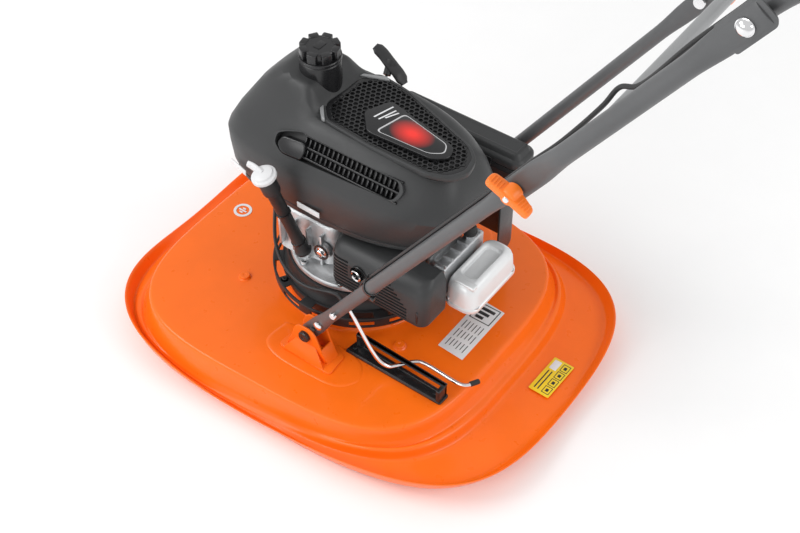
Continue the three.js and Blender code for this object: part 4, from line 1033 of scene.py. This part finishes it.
GUARD_COUNT = len(guard_outer[0])
guard_faces = [f for f in guard_faces if f[0] % GUARD_COUNT != GUARD_COUNT - 1]
guard_faces.append(tuple((len(guard_outer) - 1) * GUARD_COUNT + i for i in range(GUARD_COUNT)))
guard = make("muffler_guard_shell", guard_points, guard_faces, "cover_grey", "mower", thick=2.6,
             angle=30, cutters=(joined_boxes(slot_boxes), cutter(*loft_data(recess))))
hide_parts("muffler_guard")
lathe("guard_recess_bowl", [(13.8, 0), (15.2, 0.8), (14.6, 1.6), (13.6, 0.4), (11.4, -9), (0, -9),
                            (0, -10), (12.4, -10)], "black_gloss", "mower", (107.8, 78, 213), (1, 0, 0),
                            count=40, loop=True, angle=30)
block("guard_back_plate", (100.6, 28, 171), (102.2, 190, 230), "black_plastic", "mower", bevel=0.4)
block("guard_tail_slot", (103.5, 182, 176), (109.9, 186, 200), "black_gloss", "mower", bevel=1.2)
block("guard_bracket", (60, 90, 232.4), (72, 110, 246), "zinc", "mower", bevel=1)

# ------------------------------------------------------------------ dipstick
DIP_FOOT = Vector((94, -38, 183))
DIP_HEAD = Vector((138, -63, 352))
DIP_DIR = (DIP_HEAD - DIP_FOOT).normalized()
DIP_LENGTH = (DIP_HEAD - DIP_FOOT).length
tube_profile = [(6.4, 0), (12.5, 0), (13.5, 1.5), (13.5, 5), (10.6, 9), (9.4, 60),
                (10.2, DIP_LENGTH - 36), (13, DIP_LENGTH - 31), (13.6, DIP_LENGTH - 28),
                (13.6, DIP_LENGTH - 3), (12.8, DIP_LENGTH), (6.4, DIP_LENGTH)]
dip_tube = lathe("dipstick_tube_body", tube_profile, "black_plastic", "mower", DIP_FOOT, DIP_DIR,
                 count=40, loop=True, angle=35)
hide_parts("dipstick_tube")
for index, at in enumerate((26, 96)):
    lathe(f"dipstick_tube_band_{index}", [(9, -1.6), (11.6, -1.2), (11.6, 1.2), (9, 1.6)],
          "black_gloss", "mower", DIP_FOOT + DIP_DIR * at, DIP_DIR, count=40, loop=True, angle=40)
cap_profile = [(0, 0.7), (17.4, 0.7), (19, 2.2), (19, 6.4), (17.6, 8), (15.6, 8.6), (14.4, 11.4),
               (9, 13.4), (0, 14)]
dip_cap = lathe("dipstick_cap", cap_profile, "cap_grey", "dipstick", DIP_HEAD, DIP_DIR, count=48,
                angle=40)
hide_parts("dipstick")
WING_AT = DIP_HEAD + DIP_DIR * 9
sweep("dipstick_cap_wing", curve_points([WING_AT + Vector(p) for p in ((0, -1, 1), (0, -10, 3),
        (0, -20, 5), (1, -27, 6.4))], 6), lambda f: (5.4 + 1.4 * math.sin(f * math.pi), 4.4 - 1.0 * f),
        "cap_grey", "dipstick", count=24, angle=50)
sweep("dipstick_blade", straight(DIP_HEAD - DIP_DIR * 150, DIP_HEAD + DIP_DIR * 2, 8),
      lambda f: (3.1, 1.2), "zinc", "dipstick", count=16)

# ------------------------------------------------------------------ rotor under the hood
SHAFT_HIGH = box_mm("crankshaft")[1].z
shaft = lathe("crankshaft_turned", [(0, 34), (11, 34), (12.4, 36), (12.4, 150), (11.6, 152),
                                    (12.4, 154), (12.4, 250), (11, 262), (11, 290), (8.6, 291),
                                    (8.6, SHAFT_HIGH - 1), (7.6, SHAFT_HIGH), (0, SHAFT_HIGH)], "zinc",
                                    "rotor", count=48, angle=30)
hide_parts("crankshaft")
wheel = lathe("flywheel_disc", [(12.9, 256), (30, 256), (32, 264), (74, 264), (78, 266), (78, 275),
                                (74, 277), (34, 276), (30, 284), (12.9, 284)], "cast_alloy", "rotor",
                                count=72, loop=True, angle=30)
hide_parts("flywheel")


def curved_vane(name, r0, r1, z0, z1, start, bend, mat, thick=2.4):
    """An upright blade that curves back as it runs out."""
    steps = 8
    points, faces = [], []
    for k in range(steps + 1):
        f = k / steps
        r, a = r0 + (r1 - r0) * f, start + bend * f * f
        points += [(r * math.cos(a), r * math.sin(a), z0 + 2 * f), (r * math.cos(a), r * math.sin(a),
                z1)]
    faces = [(2 * k, 2 * k + 2, 2 * k + 3, 2 * k + 1) for k in range(steps)]
    return make(name, points, faces, mat, "rotor", thick=thick, offset=0.0, bevel=0.4)


for index in range(12):
    curved_vane(f"flywheel_vane_{index}", 38, 76, 275, 291, 2 * math.pi * index / 12, -0.3,
                "cast_alloy")
fan = lathe("impeller_disc", [(13, 34.4), (28, 34.4), (30, 38), (31, 58), (36, 60), (147, 60),
                              (150, 61), (150, 64), (146, 64.6), (60, 63.4), (32, 66), (13, 66)],
                              "black_plastic", "rotor", count=96, loop=True, angle=30)
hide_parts("impeller")
for index in range(8):
    curved_vane(f"impeller_vane_{index}", 32, 146, 37, 60.5, 2 * math.pi * index / 8, -0.42,
                "black_plastic")
spacer = lathe("blade_spacer_turned", [(8.6, 25.4), (25, 25.4), (26, 26.4), (26, 29), (20, 30),
                                       (20, 33.6), (8.6, 33.6)], "black_gloss", "rotor", count=48,
                                       loop=True, angle=30)
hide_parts("blade_spacer")
washer = lathe("blade_washer_turned", [(8.6, 16.1), (21, 16.1), (22, 17), (21, 19.6), (8.6, 19.6)],
               "zinc", "rotor", count=48, loop=True, angle=30)
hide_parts("blade_washer")
bolt = hex_bolt("blade_bolt_head", (0, 0, 15.6), (0, 0, -1), 22, "rotor", height=8.4)
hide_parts("blade_bolt")
lathe("blade_bolt_shank", [(0, 15), (8, 15), (8, 33.4), (0, 33.4)], "zinc", "rotor", count=24)
BLADE_HALF = box_mm("cutter_blade")[1].x
blade_rings = []
for k in range(41):
    f = abs(k - 20) / 20
    side = 1 if k >= 20 else -1
    x = side * BLADE_HALF * f
    wide = 24 + 2 * ease((f - 0.3) * 4)
    lift = 9 * ease((f - 0.55) * 5)
    nip = 10 * ease((f - 0.93) * 14)
    lead, trail = (-wide + nip, wide) if side > 0 else (-wide, wide - nip)
    front_z, rear_z = (20.2, 20.2 + lift) if side > 0 else (20.2 + lift, 20.2)
    sharp_front = 3.6 * ease((f - 0.5) * 8) if side > 0 else 0
    sharp_rear = 3.6 * ease((f - 0.5) * 8) if side < 0 else 0
    blade_rings.append([(x, lead, front_z), (x, lead * 0.6, 20.2), (x, trail * 0.6, 20.2),
                        (x, trail, rear_z), (x, trail, rear_z + 4.6 - sharp_rear),
                        (x, trail * 0.6, 24.8), (x, lead * 0.6, 24.8), (x, lead,
                                front_z + 4.6 - sharp_front)])
blade = loft("cutter_blade_bar", blade_rings, "blade_black", "rotor", bevel=0.3, angle=25)
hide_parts("cutter_blade")

# ------------------------------------------------------------------ brackets, pins and lower arms
SIDE = Matrix(((0, 0, 1, 0), (1, 0, 0, 0), (0, 1, 0, 0), (0, 0, 0, 1)))


def twin(name, obj, body, left_node=None, right_node=None):
    """The same piece on the far side, with the CAD nodes that the pair stands for."""
    copy = mirrored(obj, name, body)
    if left_node:
        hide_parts(left_node)
        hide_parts(right_node)
    return copy


def pair(stem, obj, body):
    return twin(stem + "_right", obj, body, None, None)


base = prism("bracket_base_left", rounded_corners([(153, -10), (194, -14), (198, 88), (153, 84)], 8),
             DECK_Z + 0.4, DECK_Z + 4, "bracket_orange", "mower", bevel=1.2, segments=3)
twin("bracket_base_right", base, "mower", "pivot_bracket_left", "pivot_bracket_right")
CHEEK = [(-2, DECK_Z + 2), (72, DECK_Z + 2), (53, PIVOT.z + 8), (45, PIVOT.z + 17), (22, PIVOT.z + 17),
         (13, PIVOT.z + 8)]
for label, x in (("inner", 157), ("outer", 182)):
    cheek = prism(f"bracket_cheek_{label}_left", rounded_corners(CHEEK, 7), x, x + 3, "bracket_orange",
                  "mower", SIDE, bevel=0.8, segments=3)
    pair(f"bracket_cheek_{label}", cheek, "mower")
for label, (y0, z0, y1, z1) in (("front", (-3, DECK_Z + 2, 7, 101)), ("rear",
        (73, DECK_Z + 2, 60, 101))):
    out = -1 if label == "front" else 1
    points = [(158, y0, z0), (184, y0, z0), (184, y1, z1), (158, y1, z1)]
    points += [(x, y + out * 2.2, z) for x, y, z in points]
    web = make(f"bracket_web_{label}_left", points,
               [(0, 1, 2, 3), (4, 7, 6, 5), (0, 4, 5, 1), (1, 5, 6, 2), (2, 6, 7, 3), (3, 7, 4, 0)],
               "bracket_orange", "mower", bevel=0.7)
    pair(f"bracket_web_{label}", web, "mower")
    foot = [(150, 88 if out > 0 else -14, DECK_Z + 0.5), (200, 88 if out > 0 else -14, DECK_Z + 0.5),
            (192, y0 + out * 1, DECK_Z + 9), (158, y0 + out * 1, DECK_Z + 9)]
gusset_points = [(185, 4, DECK_Z + 3), (185, 66, DECK_Z + 3), (185, 52, 104), (185, 15, 104),
                 (197, -4, DECK_Z + 3), (197, 76, DECK_Z + 3)]
gusset = make("bracket_gusset_left", gusset_points, [(0, 3, 2, 1), (4, 5, 2, 3), (0, 4, 3), (1, 2, 5),
        (0, 1, 5, 4)], "bracket_orange", "mower", bevel=1.2, segments=3)
pair("bracket_gusset", gusset, "mower")
pin_profile = [(0, 0), (8, 0), (8.6, 1), (8.6, 6), (5, 6.6), (5, 34.4), (9.6, 35), (9.6, 39.4), (8, 41),
               (3.6, 41), (3, 40.2), (0, 40.2)]
pin = lathe("pivot_pin_left_cap", pin_profile, "black_gloss", "mower", (150, PIVOT.y, PIVOT.z),
            (1, 0, 0), count=40, angle=35)
twin("pivot_pin_right_cap", pin, "mower", "pivot_pin_left", "pivot_pin_right")
clip_ring = sweep("pin_clip_left", [Vector((153, PIVOT.y + 8 + 9 * math.cos(a * math.pi / 16),
                                            PIVOT.z + 4 + 9 * math.sin(a * math.pi / 16)))
                                            for a in range(33)], lambda f: (1.1, 1.1), "chrome",
                                            "mower", count=10)
pair("pin_clip", clip_ring, "mower")

ARM_R = 10.2
ARM_FROM = PIVOT - ARM_DIR * 14
ARM_TO = FOLD + ARM_DIR * 14
ARM_LENGTH = (ARM_TO - ARM_FROM).length


def arm_section(f):
    foot, top = f * ARM_LENGTH, (1 - f) * ARM_LENGTH
    press = max(1 - ease((foot - 40) / 50), 1 - ease((top - 40) / 60))
    return ARM_R + 3.2 * press, ARM_R - 4.4 * press


arm = sweep("lower_arm_left_tube", straight(ARM_FROM, ARM_TO, 48), arm_section, "tube_grey",
            "lower_handle", count=28, bevel=0.8, angle=40)
twin("lower_arm_right_tube", arm, "lower_handle", "lower_arm_left", "lower_arm_right")
RIVET = middle("arm_rivet_left")
rivet_profile = [(0, -12.2), (4, -12), (6, -10.6), (6, -9.7), (3, -9.6), (3, 9.6), (7.2, 9.7), (7, 11),
                 (4.6, 12.6), (0, 13)]
rivet = lathe("arm_rivet_left_head", rivet_profile, "chrome", "lower_handle", RIVET, (1, 0, 0),
              count=32, angle=40)
twin("arm_rivet_right_head", rivet, "lower_handle", "arm_rivet_left", "arm_rivet_right")
BRACKET_BOLT = Vector((RIVET.x, RIVET.y - 13, RIVET.z - 19))
small = lathe("arm_stop_rivet_left", [(0, -8), (3, -8), (3, 7), (5, 7.2), (4.6, 8.6), (2.6, 9.4),
                                      (0, 9.6)], "black_gloss", "lower_handle", BRACKET_BOLT, (1, 0, 0),
                                      count=28, angle=40)
pair("arm_stop_rivet", small, "lower_handle")

# ------------------------------------------------------------------ wing knobs and fold bolts
KNOB_HIGH = box_mm("wing_knob_left")[1]
KNOB_IN = FOLD.x + 19.4
KNOB_OUT = KNOB_HIGH.x
WING_U = Vector((0, 0.917, -0.4))
WING_N = Vector((0, 0.4, 0.917))
KNOB = Matrix.Translation((0, FOLD.y, FOLD.z)) @ Matrix((
    (0, 1, 0, 0), (WING_U.y, 0, WING_N.y, 0), (WING_U.z, 0, WING_N.z, 0), (0, 0, 0, 1)))
wing_line = rounded_corners([(-31, KNOB_OUT), (-31, KNOB_OUT - 17), (-12, KNOB_IN + 0.5),
                             (12, KNOB_IN + 0.5), (31, KNOB_OUT - 13), (31, KNOB_OUT)], 7, 6)
wing = prism("wing_knob_left_body", wing_line, -5, 5, "knob_orange", "wing_knob_left", KNOB, bevel=2.6,
             segments=4)
twin("wing_knob_right_body", wing, "wing_knob_right", "wing_knob_left", "wing_knob_right")
hub = lathe("wing_knob_hub_left", [(4.6, 0), (10, 0), (11, 1), (11, 15), (9, 17.6), (4.6, 18)],
            "knob_orange", "wing_knob_left", (KNOB_IN + 0.2, FOLD.y, FOLD.z), (1, 0, 0), count=40,
            loop=True, angle=40)
pair("wing_knob_hub", hub, "wing_knob_right")
for index in range(8):
    u = (-27, -23, -19, -15, 12, 16, 20, 24)[index]
    rib = block(f"wing_knob_rib_left_{index}", (u, KNOB_OUT - 14, -5.8), (u + 2.2, KNOB_OUT - 1.5, 5.8),
                "knob_orange", "wing_knob_left", KNOB, bevel=0.9, segments=3)
    mirrored(rib, f"wing_knob_rib_right_{index}", "wing_knob_right")
bolt_profile = [(0, 0), (8, 0), (8, 4.6), (4, 5), (4, KNOB_OUT - 198), (3.4, KNOB_OUT - 197),
                (0, KNOB_OUT - 196.8)]
fold_bolt = lathe("fold_bolt_left_shank", bolt_profile, "chrome", "lower_handle", (198, FOLD.y, FOLD.z),
                  (1, 0, 0), count=28, angle=30)
twin("fold_bolt_right_shank", fold_bolt, "lower_handle", "fold_bolt_left", "fold_bolt_right")

# ------------------------------------------------------------------ middle handle
TUBE_R = 12.0
MID_FROM = MID_FOOT - ARM_DIR * 14
MID_TO = MID_FOOT + MID_DIR * 409
MID_LENGTH = (MID_TO - MID_FROM).length


def mid_section(f):
    foot, top = f * MID_LENGTH, (1 - f) * MID_LENGTH
    press = max(1 - ease((foot - 50) / 60), 1 - ease((top - 50) / 60))
    return TUBE_R + 3 * press, TUBE_R - 6.5 * press


tube = sweep("middle_tube_left", straight(MID_FROM, MID_TO, 48), mid_section, "tube_grey",
             "upper_handle", count=32, bevel=0.8, angle=40)
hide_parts("middle_handle")
pair("middle_tube", tube, "upper_handle")
BRACE_Y = 490.0
BRACE_Z = MID_FOOT.z + (BRACE_Y - MID_FOOT.y) * MID_DIR.z / MID_DIR.y
brace_path = curve_points([(-226, BRACE_Y, BRACE_Z), (-150, BRACE_Y, BRACE_Z), (150, BRACE_Y, BRACE_Z),
                           (226, BRACE_Y, BRACE_Z)], 12)
sweep("handle_brace", brace_path, lambda f: (8.5 - 2.6 * ease((abs(f - 0.5) - 0.46) * 30), 8.5),
      "brace_grey", "upper_handle", count=28)
# Painted highlight: a light grey wire in the brace's grey, run from behind the brace over its top to
# the tube. It stands for the lit top of the black control cable where the cable crosses the brace.
cable_top_highlight_path = curve_points([(168, BRACE_Y + 8, BRACE_Z - 6), (176, BRACE_Y + 13, BRACE_Z + 4),
                          (186, BRACE_Y + 8, BRACE_Z + 14), (197, BRACE_Y + 2, BRACE_Z + 15),
                          (207, BRACE_Y + 6, BRACE_Z + 12), (216, BRACE_Y + 12, BRACE_Z + 12)], 8)
sweep("cable_top_highlight_wire", cable_top_highlight_path, lambda f: (2.6, 2.6), "brace_grey", "upper_handle", count=16)

SPLICE_OUT = box_mm("splice_bolt_left")[1].x
nut_profile = [(0, -46.6), (7.6, -46.6), (7.6, -42), (4, -41.6), (4, -8), (9.6, -7.4), (9.6, -6),
               (8.6, -5.6), (7.4, -2.6), (4.4, -0.6), (0, 0)]
nut = lathe("splice_nut_left", nut_profile, "chrome", "upper_handle", (SPLICE_OUT, SPLICE.y, SPLICE.z),
            (1, 0, 0), count=40, angle=35)
twin("splice_nut_right", nut, "upper_handle", "splice_bolt_left", "splice_bolt_right")
saddle = [(-30, -17), (24, -17), (30, -11), (30, 11), (24, 17), (-30, 17)]
SADDLE_U = MID_DIR
SADDLE_V = Vector((1, 0, 0)).cross(MID_DIR).normalized()
SADDLE = Matrix.Translation((TUBE_R + 218.4, SPLICE.y, SPLICE.z)) @ Matrix((
    (0, 0, 1, 0), (SADDLE_U.y, SADDLE_V.y, 0, 0), (SADDLE_U.z, SADDLE_V.z, 0, 0), (0, 0, 0, 1)))
saddle_plate = prism("splice_saddle_left", rounded_corners(saddle, 4), 0.4, 2.6, "tube_grey",
                     "upper_handle", SADDLE, bevel=0.7)
pair("splice_saddle", saddle_plate, "upper_handle")

# ------------------------------------------------------------------ upper handle, grip and bail
upper_left = [(211, SPLICE.y - 22, SPLICE.z - 32), (211, SPLICE.y, SPLICE.z), (211, 650, 1008),
              (211, 690, 1038), (211, 740, 1056), (206, 785, 1064), (188, 806, 1068),
              (160, GRIP_Y, GRIP_Z)]
upper_points = upper_left + [(x, GRIP_Y, GRIP_Z) for x in (120, 60, 0, -60, -120)]
upper_points += [(-x, y, z) for x, y, z in reversed(upper_left)]
upper = sweep("upper_tube", curve_points(upper_points, 8), lambda f: (11, 11), "tube_grey",
              "upper_handle", count=28, bevel=0.8, angle=40)
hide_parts("upper_handle")
grip_profile = [(11.7, -125), (15, -125), (17, -123.5), (17, -119), (15.6, -117.5)]
for k in range(46):
    at = -115 + k * 5
    grip_profile += [(15.6, at), (14.8, at + 1.1), (14.8, at + 2.1), (15.6, at + 3.2)]
grip_profile += [(15.6, 117.5), (17, 119), (17, 123.5), (15, 125), (11.7, 125)]
hand_grip = lathe("hand_grip_sleeve", grip_profile, "rubber", "upper_handle", (0, GRIP_Y, GRIP_Z),
                  (1, 0, 0), count=48, loop=True, angle=50)
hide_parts("hand_grip")

BAIL_Y, BAIL_Z = 744.0, 1032.0
bail_points = [(196, BAIL_Y, BAIL_Z), (196, 790, 1030), (180, 812, 1034), (150, 816, 1036),
               (0, 816, 1036), (-150, 816, 1036), (-180, 812, 1034), (-196, 790, 1030),
               (-196, BAIL_Y, BAIL_Z)]
bail = sweep("stop_bail_bar", curve_points(bail_points, 10), lambda f: (4, 4), "blade_black",
             "stop_bail", count=20)
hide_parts("stop_bail")
for label, x in (("left", 194.5), ("right", -194.5)):
    lathe(f"stop_bail_eye_{label}", [(0, -4.6), (6.4, -4.6), (7, -4), (7, 4), (6.4, 4.6), (0, 4.6)],
          "black_gloss", "stop_bail", (x, BAIL_Y, BAIL_Z), (1, 0, 0), count=28, angle=40)
MOUNT = Matrix.Translation((211, 736, 1055)) @ Matrix.Rotation(math.pi / 2 + 0.35, 4, "X")
mount_axis = MOUNT.to_3x3() @ Vector((0, 0, 1))
mount = lathe("bail_mount_left_clamp", [(11.4, -9), (15.4, -9), (16.4, -8), (16.4, 8), (15.4, 9),
                                        (11.4, 9)], "black_plastic", "upper_handle", MOUNT.translation,
                                        mount_axis, count=40, loop=True, angle=40)
twin("bail_mount_right_clamp", mount, "upper_handle", "bail_mount_left", "bail_mount_right")
arm_block = block("bail_mount_arm_left", (-6, -34, -7), (6, -14, 7), "black_plastic", "upper_handle",
                  MOUNT, bevel=2, segments=3)
pair("bail_mount_arm", arm_block, "upper_handle")
screw = hex_bolt("bail_mount_screw_left", MOUNT @ Vector((6, -20, 0)), (1, 0, 0), 7, "upper_handle",
                 height=3.5)
pair("bail_mount_screw", screw, "upper_handle")

# ------------------------------------------------------------------ stay rod and its guide
GX, GY0, GY1, GTOP = 133.0, 84.0, 252.0, GUIDE_HIGH.z
inner_wall = [(GX - 14, GY0), (GX - 7, GY0), (GX - 2, GY1), (GX - 8, GY1)]
slot = joined_boxes([((GX - 30, GY0 + 14, DECK_Z + 6.5), (GX + 2, GY1 - 9, GTOP - 3.4))])
points, faces = loft_data([[(x, y, z) for x, y in inner_wall] for z in (DECK_Z + 0.6, GTOP)])
guide = make("rod_guide_wall", points, faces, "black_gloss", "mower", bevel=1.2, segments=3,
             cutters=(slot,))
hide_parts("rod_guide")
prism("rod_guide_base", rounded_corners([(GX - 16, GY0 - 3), (GX + 12, GY0 - 7), (GX + 13.4, GY1 + 2),
                                         (GX - 9, GY1 + 3)], 4), DECK_Z + 0.4, DECK_Z + 4.6,
                                         "black_gloss", "mower", bevel=1.2, segments=3)
prism("rod_guide_lip", [(GX + 6.5, GY0 - 5), (GX + 11.6, GY0 - 5.6), (GX + 12.6, GY1), (GX + 8.6, GY1)],
      DECK_Z + 3, DECK_Z + 6.5, "black_gloss", "mower", bevel=1.4, segments=3)
prism("rod_guide_end", [(GX - 8, GY1 - 7), (GX + 12.6, GY1 - 7), (GX + 12.6, GY1), (GX - 8, GY1)],
      DECK_Z + 3, GTOP - 0.5, "black_gloss", "mower", bevel=1.6, segments=3)
prism("rod_guide_ridge", [(GX - 15.6, GY0 + 1), (GX - 5.6, GY0 + 1), (GX - 0.4, GY1), (GX - 9.4, GY1)],
      GTOP - 2.2, GTOP, "black_gloss", "mower", bevel=0.9, segments=3)
for index in range(2):
    hex_bolt(f"rod_guide_screw_{index}", (GX + 1, GY0 + 4 + index * 150, DECK_Z + 4.4), (0, 0, 1), 7,
             "mower", height=3, washer=5.5, mat="black_gloss")
ROD_TOP = PIVOT + ARM_DIR * 110
ROD_Z = 92.0
rod_points = [(ROD_TOP.x - 13, ROD_TOP.y, ROD_TOP.z), (ROD_TOP.x - 16, ROD_TOP.y + 3, ROD_TOP.z - 6),
              (150, 145, ROD_Z + 14), (142, 158, ROD_Z + 1), (134, 165, ROD_Z), (112, 182, ROD_Z),
              (106, 192, ROD_Z), (107, 262, ROD_Z), (103, 272, ROD_Z), (86, 282, ROD_Z)]
rod = sweep("stay_rod_wire", curve_points(rod_points, 10), lambda f: (3, 3), "chrome", "stay_rod",
            count=20)
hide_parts("stay_rod")
lathe("stay_rod_eye", [(0, -14), (3, -14), (3, 12.6), (5.6, 13), (5.6, 16), (4.6, 17), (0, 17)],
      "chrome", "stay_rod", ROD_TOP, (1, 0, 0), count=24, angle=40)
ROD_END = Vector((86, 282, ROD_Z))
lathe("stay_rod_cap", [(0, -1.2), (3.5, -0.8), (4.1, 0.8), (4.1, 13), (3.8, 14.4), (3.1, 14.6),
                       (0, 14.6)], "rubber", "stay_rod", ROD_END, Vector((17, -10, 0)).normalized(),
                       count=28, angle=40)

# ------------------------------------------------------------------ control cable
CABLE_R = 2.9
CABLE_OFFSET = Vector((-9.5, -9, 6.8))


def on_arm(t):
    return PIVOT.lerp(FOLD, t) + CABLE_OFFSET


def cable(name, points, body=None):
    return sweep(name, curve_points(points, 9), lambda f: (CABLE_R, CABLE_R), "black_plastic", body,
                 count=16)


engine_cable = cable("cable_round_engine", [on_arm(0.31), (157, 108, 220), (148, 84, 184),
                                            (118, 40, 156), (127, -14, 150), (113, -62, 148),
                                            (84, -104, 150), (40, -142, 160), (10, -160, 190),
                                            (0, -150, 236)])
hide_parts("cable_on_engine")
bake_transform(engine_cable)
arm_cable = cable("cable_along_arm", [on_arm(t) for t in (0.31, 0.325, 0.5, 0.75, 0.94, 1.02)],
                  "lower_handle")
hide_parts("cable_on_arm")
handle_cable = cable("cable_along_handle", [on_arm(1.02), on_arm(1.035), (196, 430, 712),
                                            (190, 472, 780), (186, 486, 808), (192, 508, 824),
                                            (200, 560, 905), (200, 602, 965), (199, 630, 1006),
                                            (199, 668, 1044), (198, 700, 1046), (190, 724, 1034)])
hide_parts("cable_on_handle")
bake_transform(handle_cable)


def tie_ring(along, extra):
    """One edge of a band drawn tight round the arm and the cable beside it."""
    side = (Vector((1, 0, 0)) - ARM_DIR * ARM_DIR.x).normalized()
    tall = ARM_DIR.cross(side)
    circles = ((0, 0, ARM_R + 0.4), (CABLE_OFFSET.dot(side), CABLE_OFFSET.dot(tall), CABLE_R + 0.4))
    centre = PIVOT.lerp(FOLD, 0.345) + ARM_DIR * along
    edge = []
    for i in range(48):
        a = 2 * math.pi * i / 48
        x, y, r = max(circles, key=lambda c: c[0] * math.cos(a) + c[1] * math.sin(a) + c[2])
        edge.append(centre + side * (x + (r + extra) * math.cos(a)) + tall * (y
                + (r + extra) * math.sin(a)))
    return edge


tie = loft("cable_tie_band", [tie_ring(-2.4, 0), tie_ring(-2.4, 1.3), tie_ring(2.4, 1.3),
                              tie_ring(2.4, 0)], "black_gloss", "lower_handle", loop=True, bevel=0.3,
                              angle=30)
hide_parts("cable_tie")
TIE_HEAD = PIVOT.lerp(FOLD, 0.345) + Vector((8, 9, -9))
block("cable_tie_head", (-3.4, -3.4, -3), (3.4, 3.4, 4), "black_gloss", "lower_handle",
      Matrix.Translation(TIE_HEAD), bevel=1)

# ------------------------------------------------------------------ finish of the CAD nodes that stay
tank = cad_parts["fuel_tank"]
tank.data.materials.clear()
tank.data.materials.append(materials["black_plastic"])


# ------------------------------------------------------------------ floor and light
floor_size = 14.0
floor_mesh = bpy.data.meshes.new("floor")
floor_mesh.from_pydata([(-floor_size, -floor_size, 0), (floor_size, -floor_size, 0),
                        (floor_size, floor_size, 0), (-floor_size, floor_size, 0)], [], [(0, 1, 2, 3)])
floor = bpy.data.objects.new("floor", floor_mesh)
bpy.context.scene.collection.objects.link(floor)
floor_mesh.materials.append(principled("floor_white", (0.93, 0.93, 0.93), 0.7, grain=(40.0, 0.0),
                                       mottle=0.005))

world = bpy.data.worlds.new("studio")
bpy.context.scene.world = world
world.use_nodes = True
world.node_tree.nodes["Background"].inputs["Color"].default_value = (1, 1, 1, 1)
world.node_tree.nodes["Background"].inputs["Strength"].default_value = 0.75
bpy.context.scene.view_settings.view_transform = "Standard"


def area_light(name, at, target, size, power):
    data = bpy.data.lights.new(name, "AREA")
    data.shape = "RECTANGLE"
    data.size, data.size_y = size
    data.energy = power
    lamp = bpy.data.objects.new(name, data)
    bpy.context.scene.collection.objects.link(lamp)
    lamp.location = at
    lamp.rotation_mode = "QUATERNION"
    lamp.rotation_quaternion = (Vector(target) - Vector(at)).to_track_quat("-Z", "Y")


area_light("key", (1.8, -2.4, 3.0), (0, 0, 0.2), (2.2, 1.6), 62)
area_light("fill", (3.2, -0.6, 1.8), (0, 0.1, 0.2), (2.0, 1.4), 26)
area_light("rim", (-0.6, 3.4, 2.2), (0, 0.3, 0.3), (2.4, 1.0), 36)
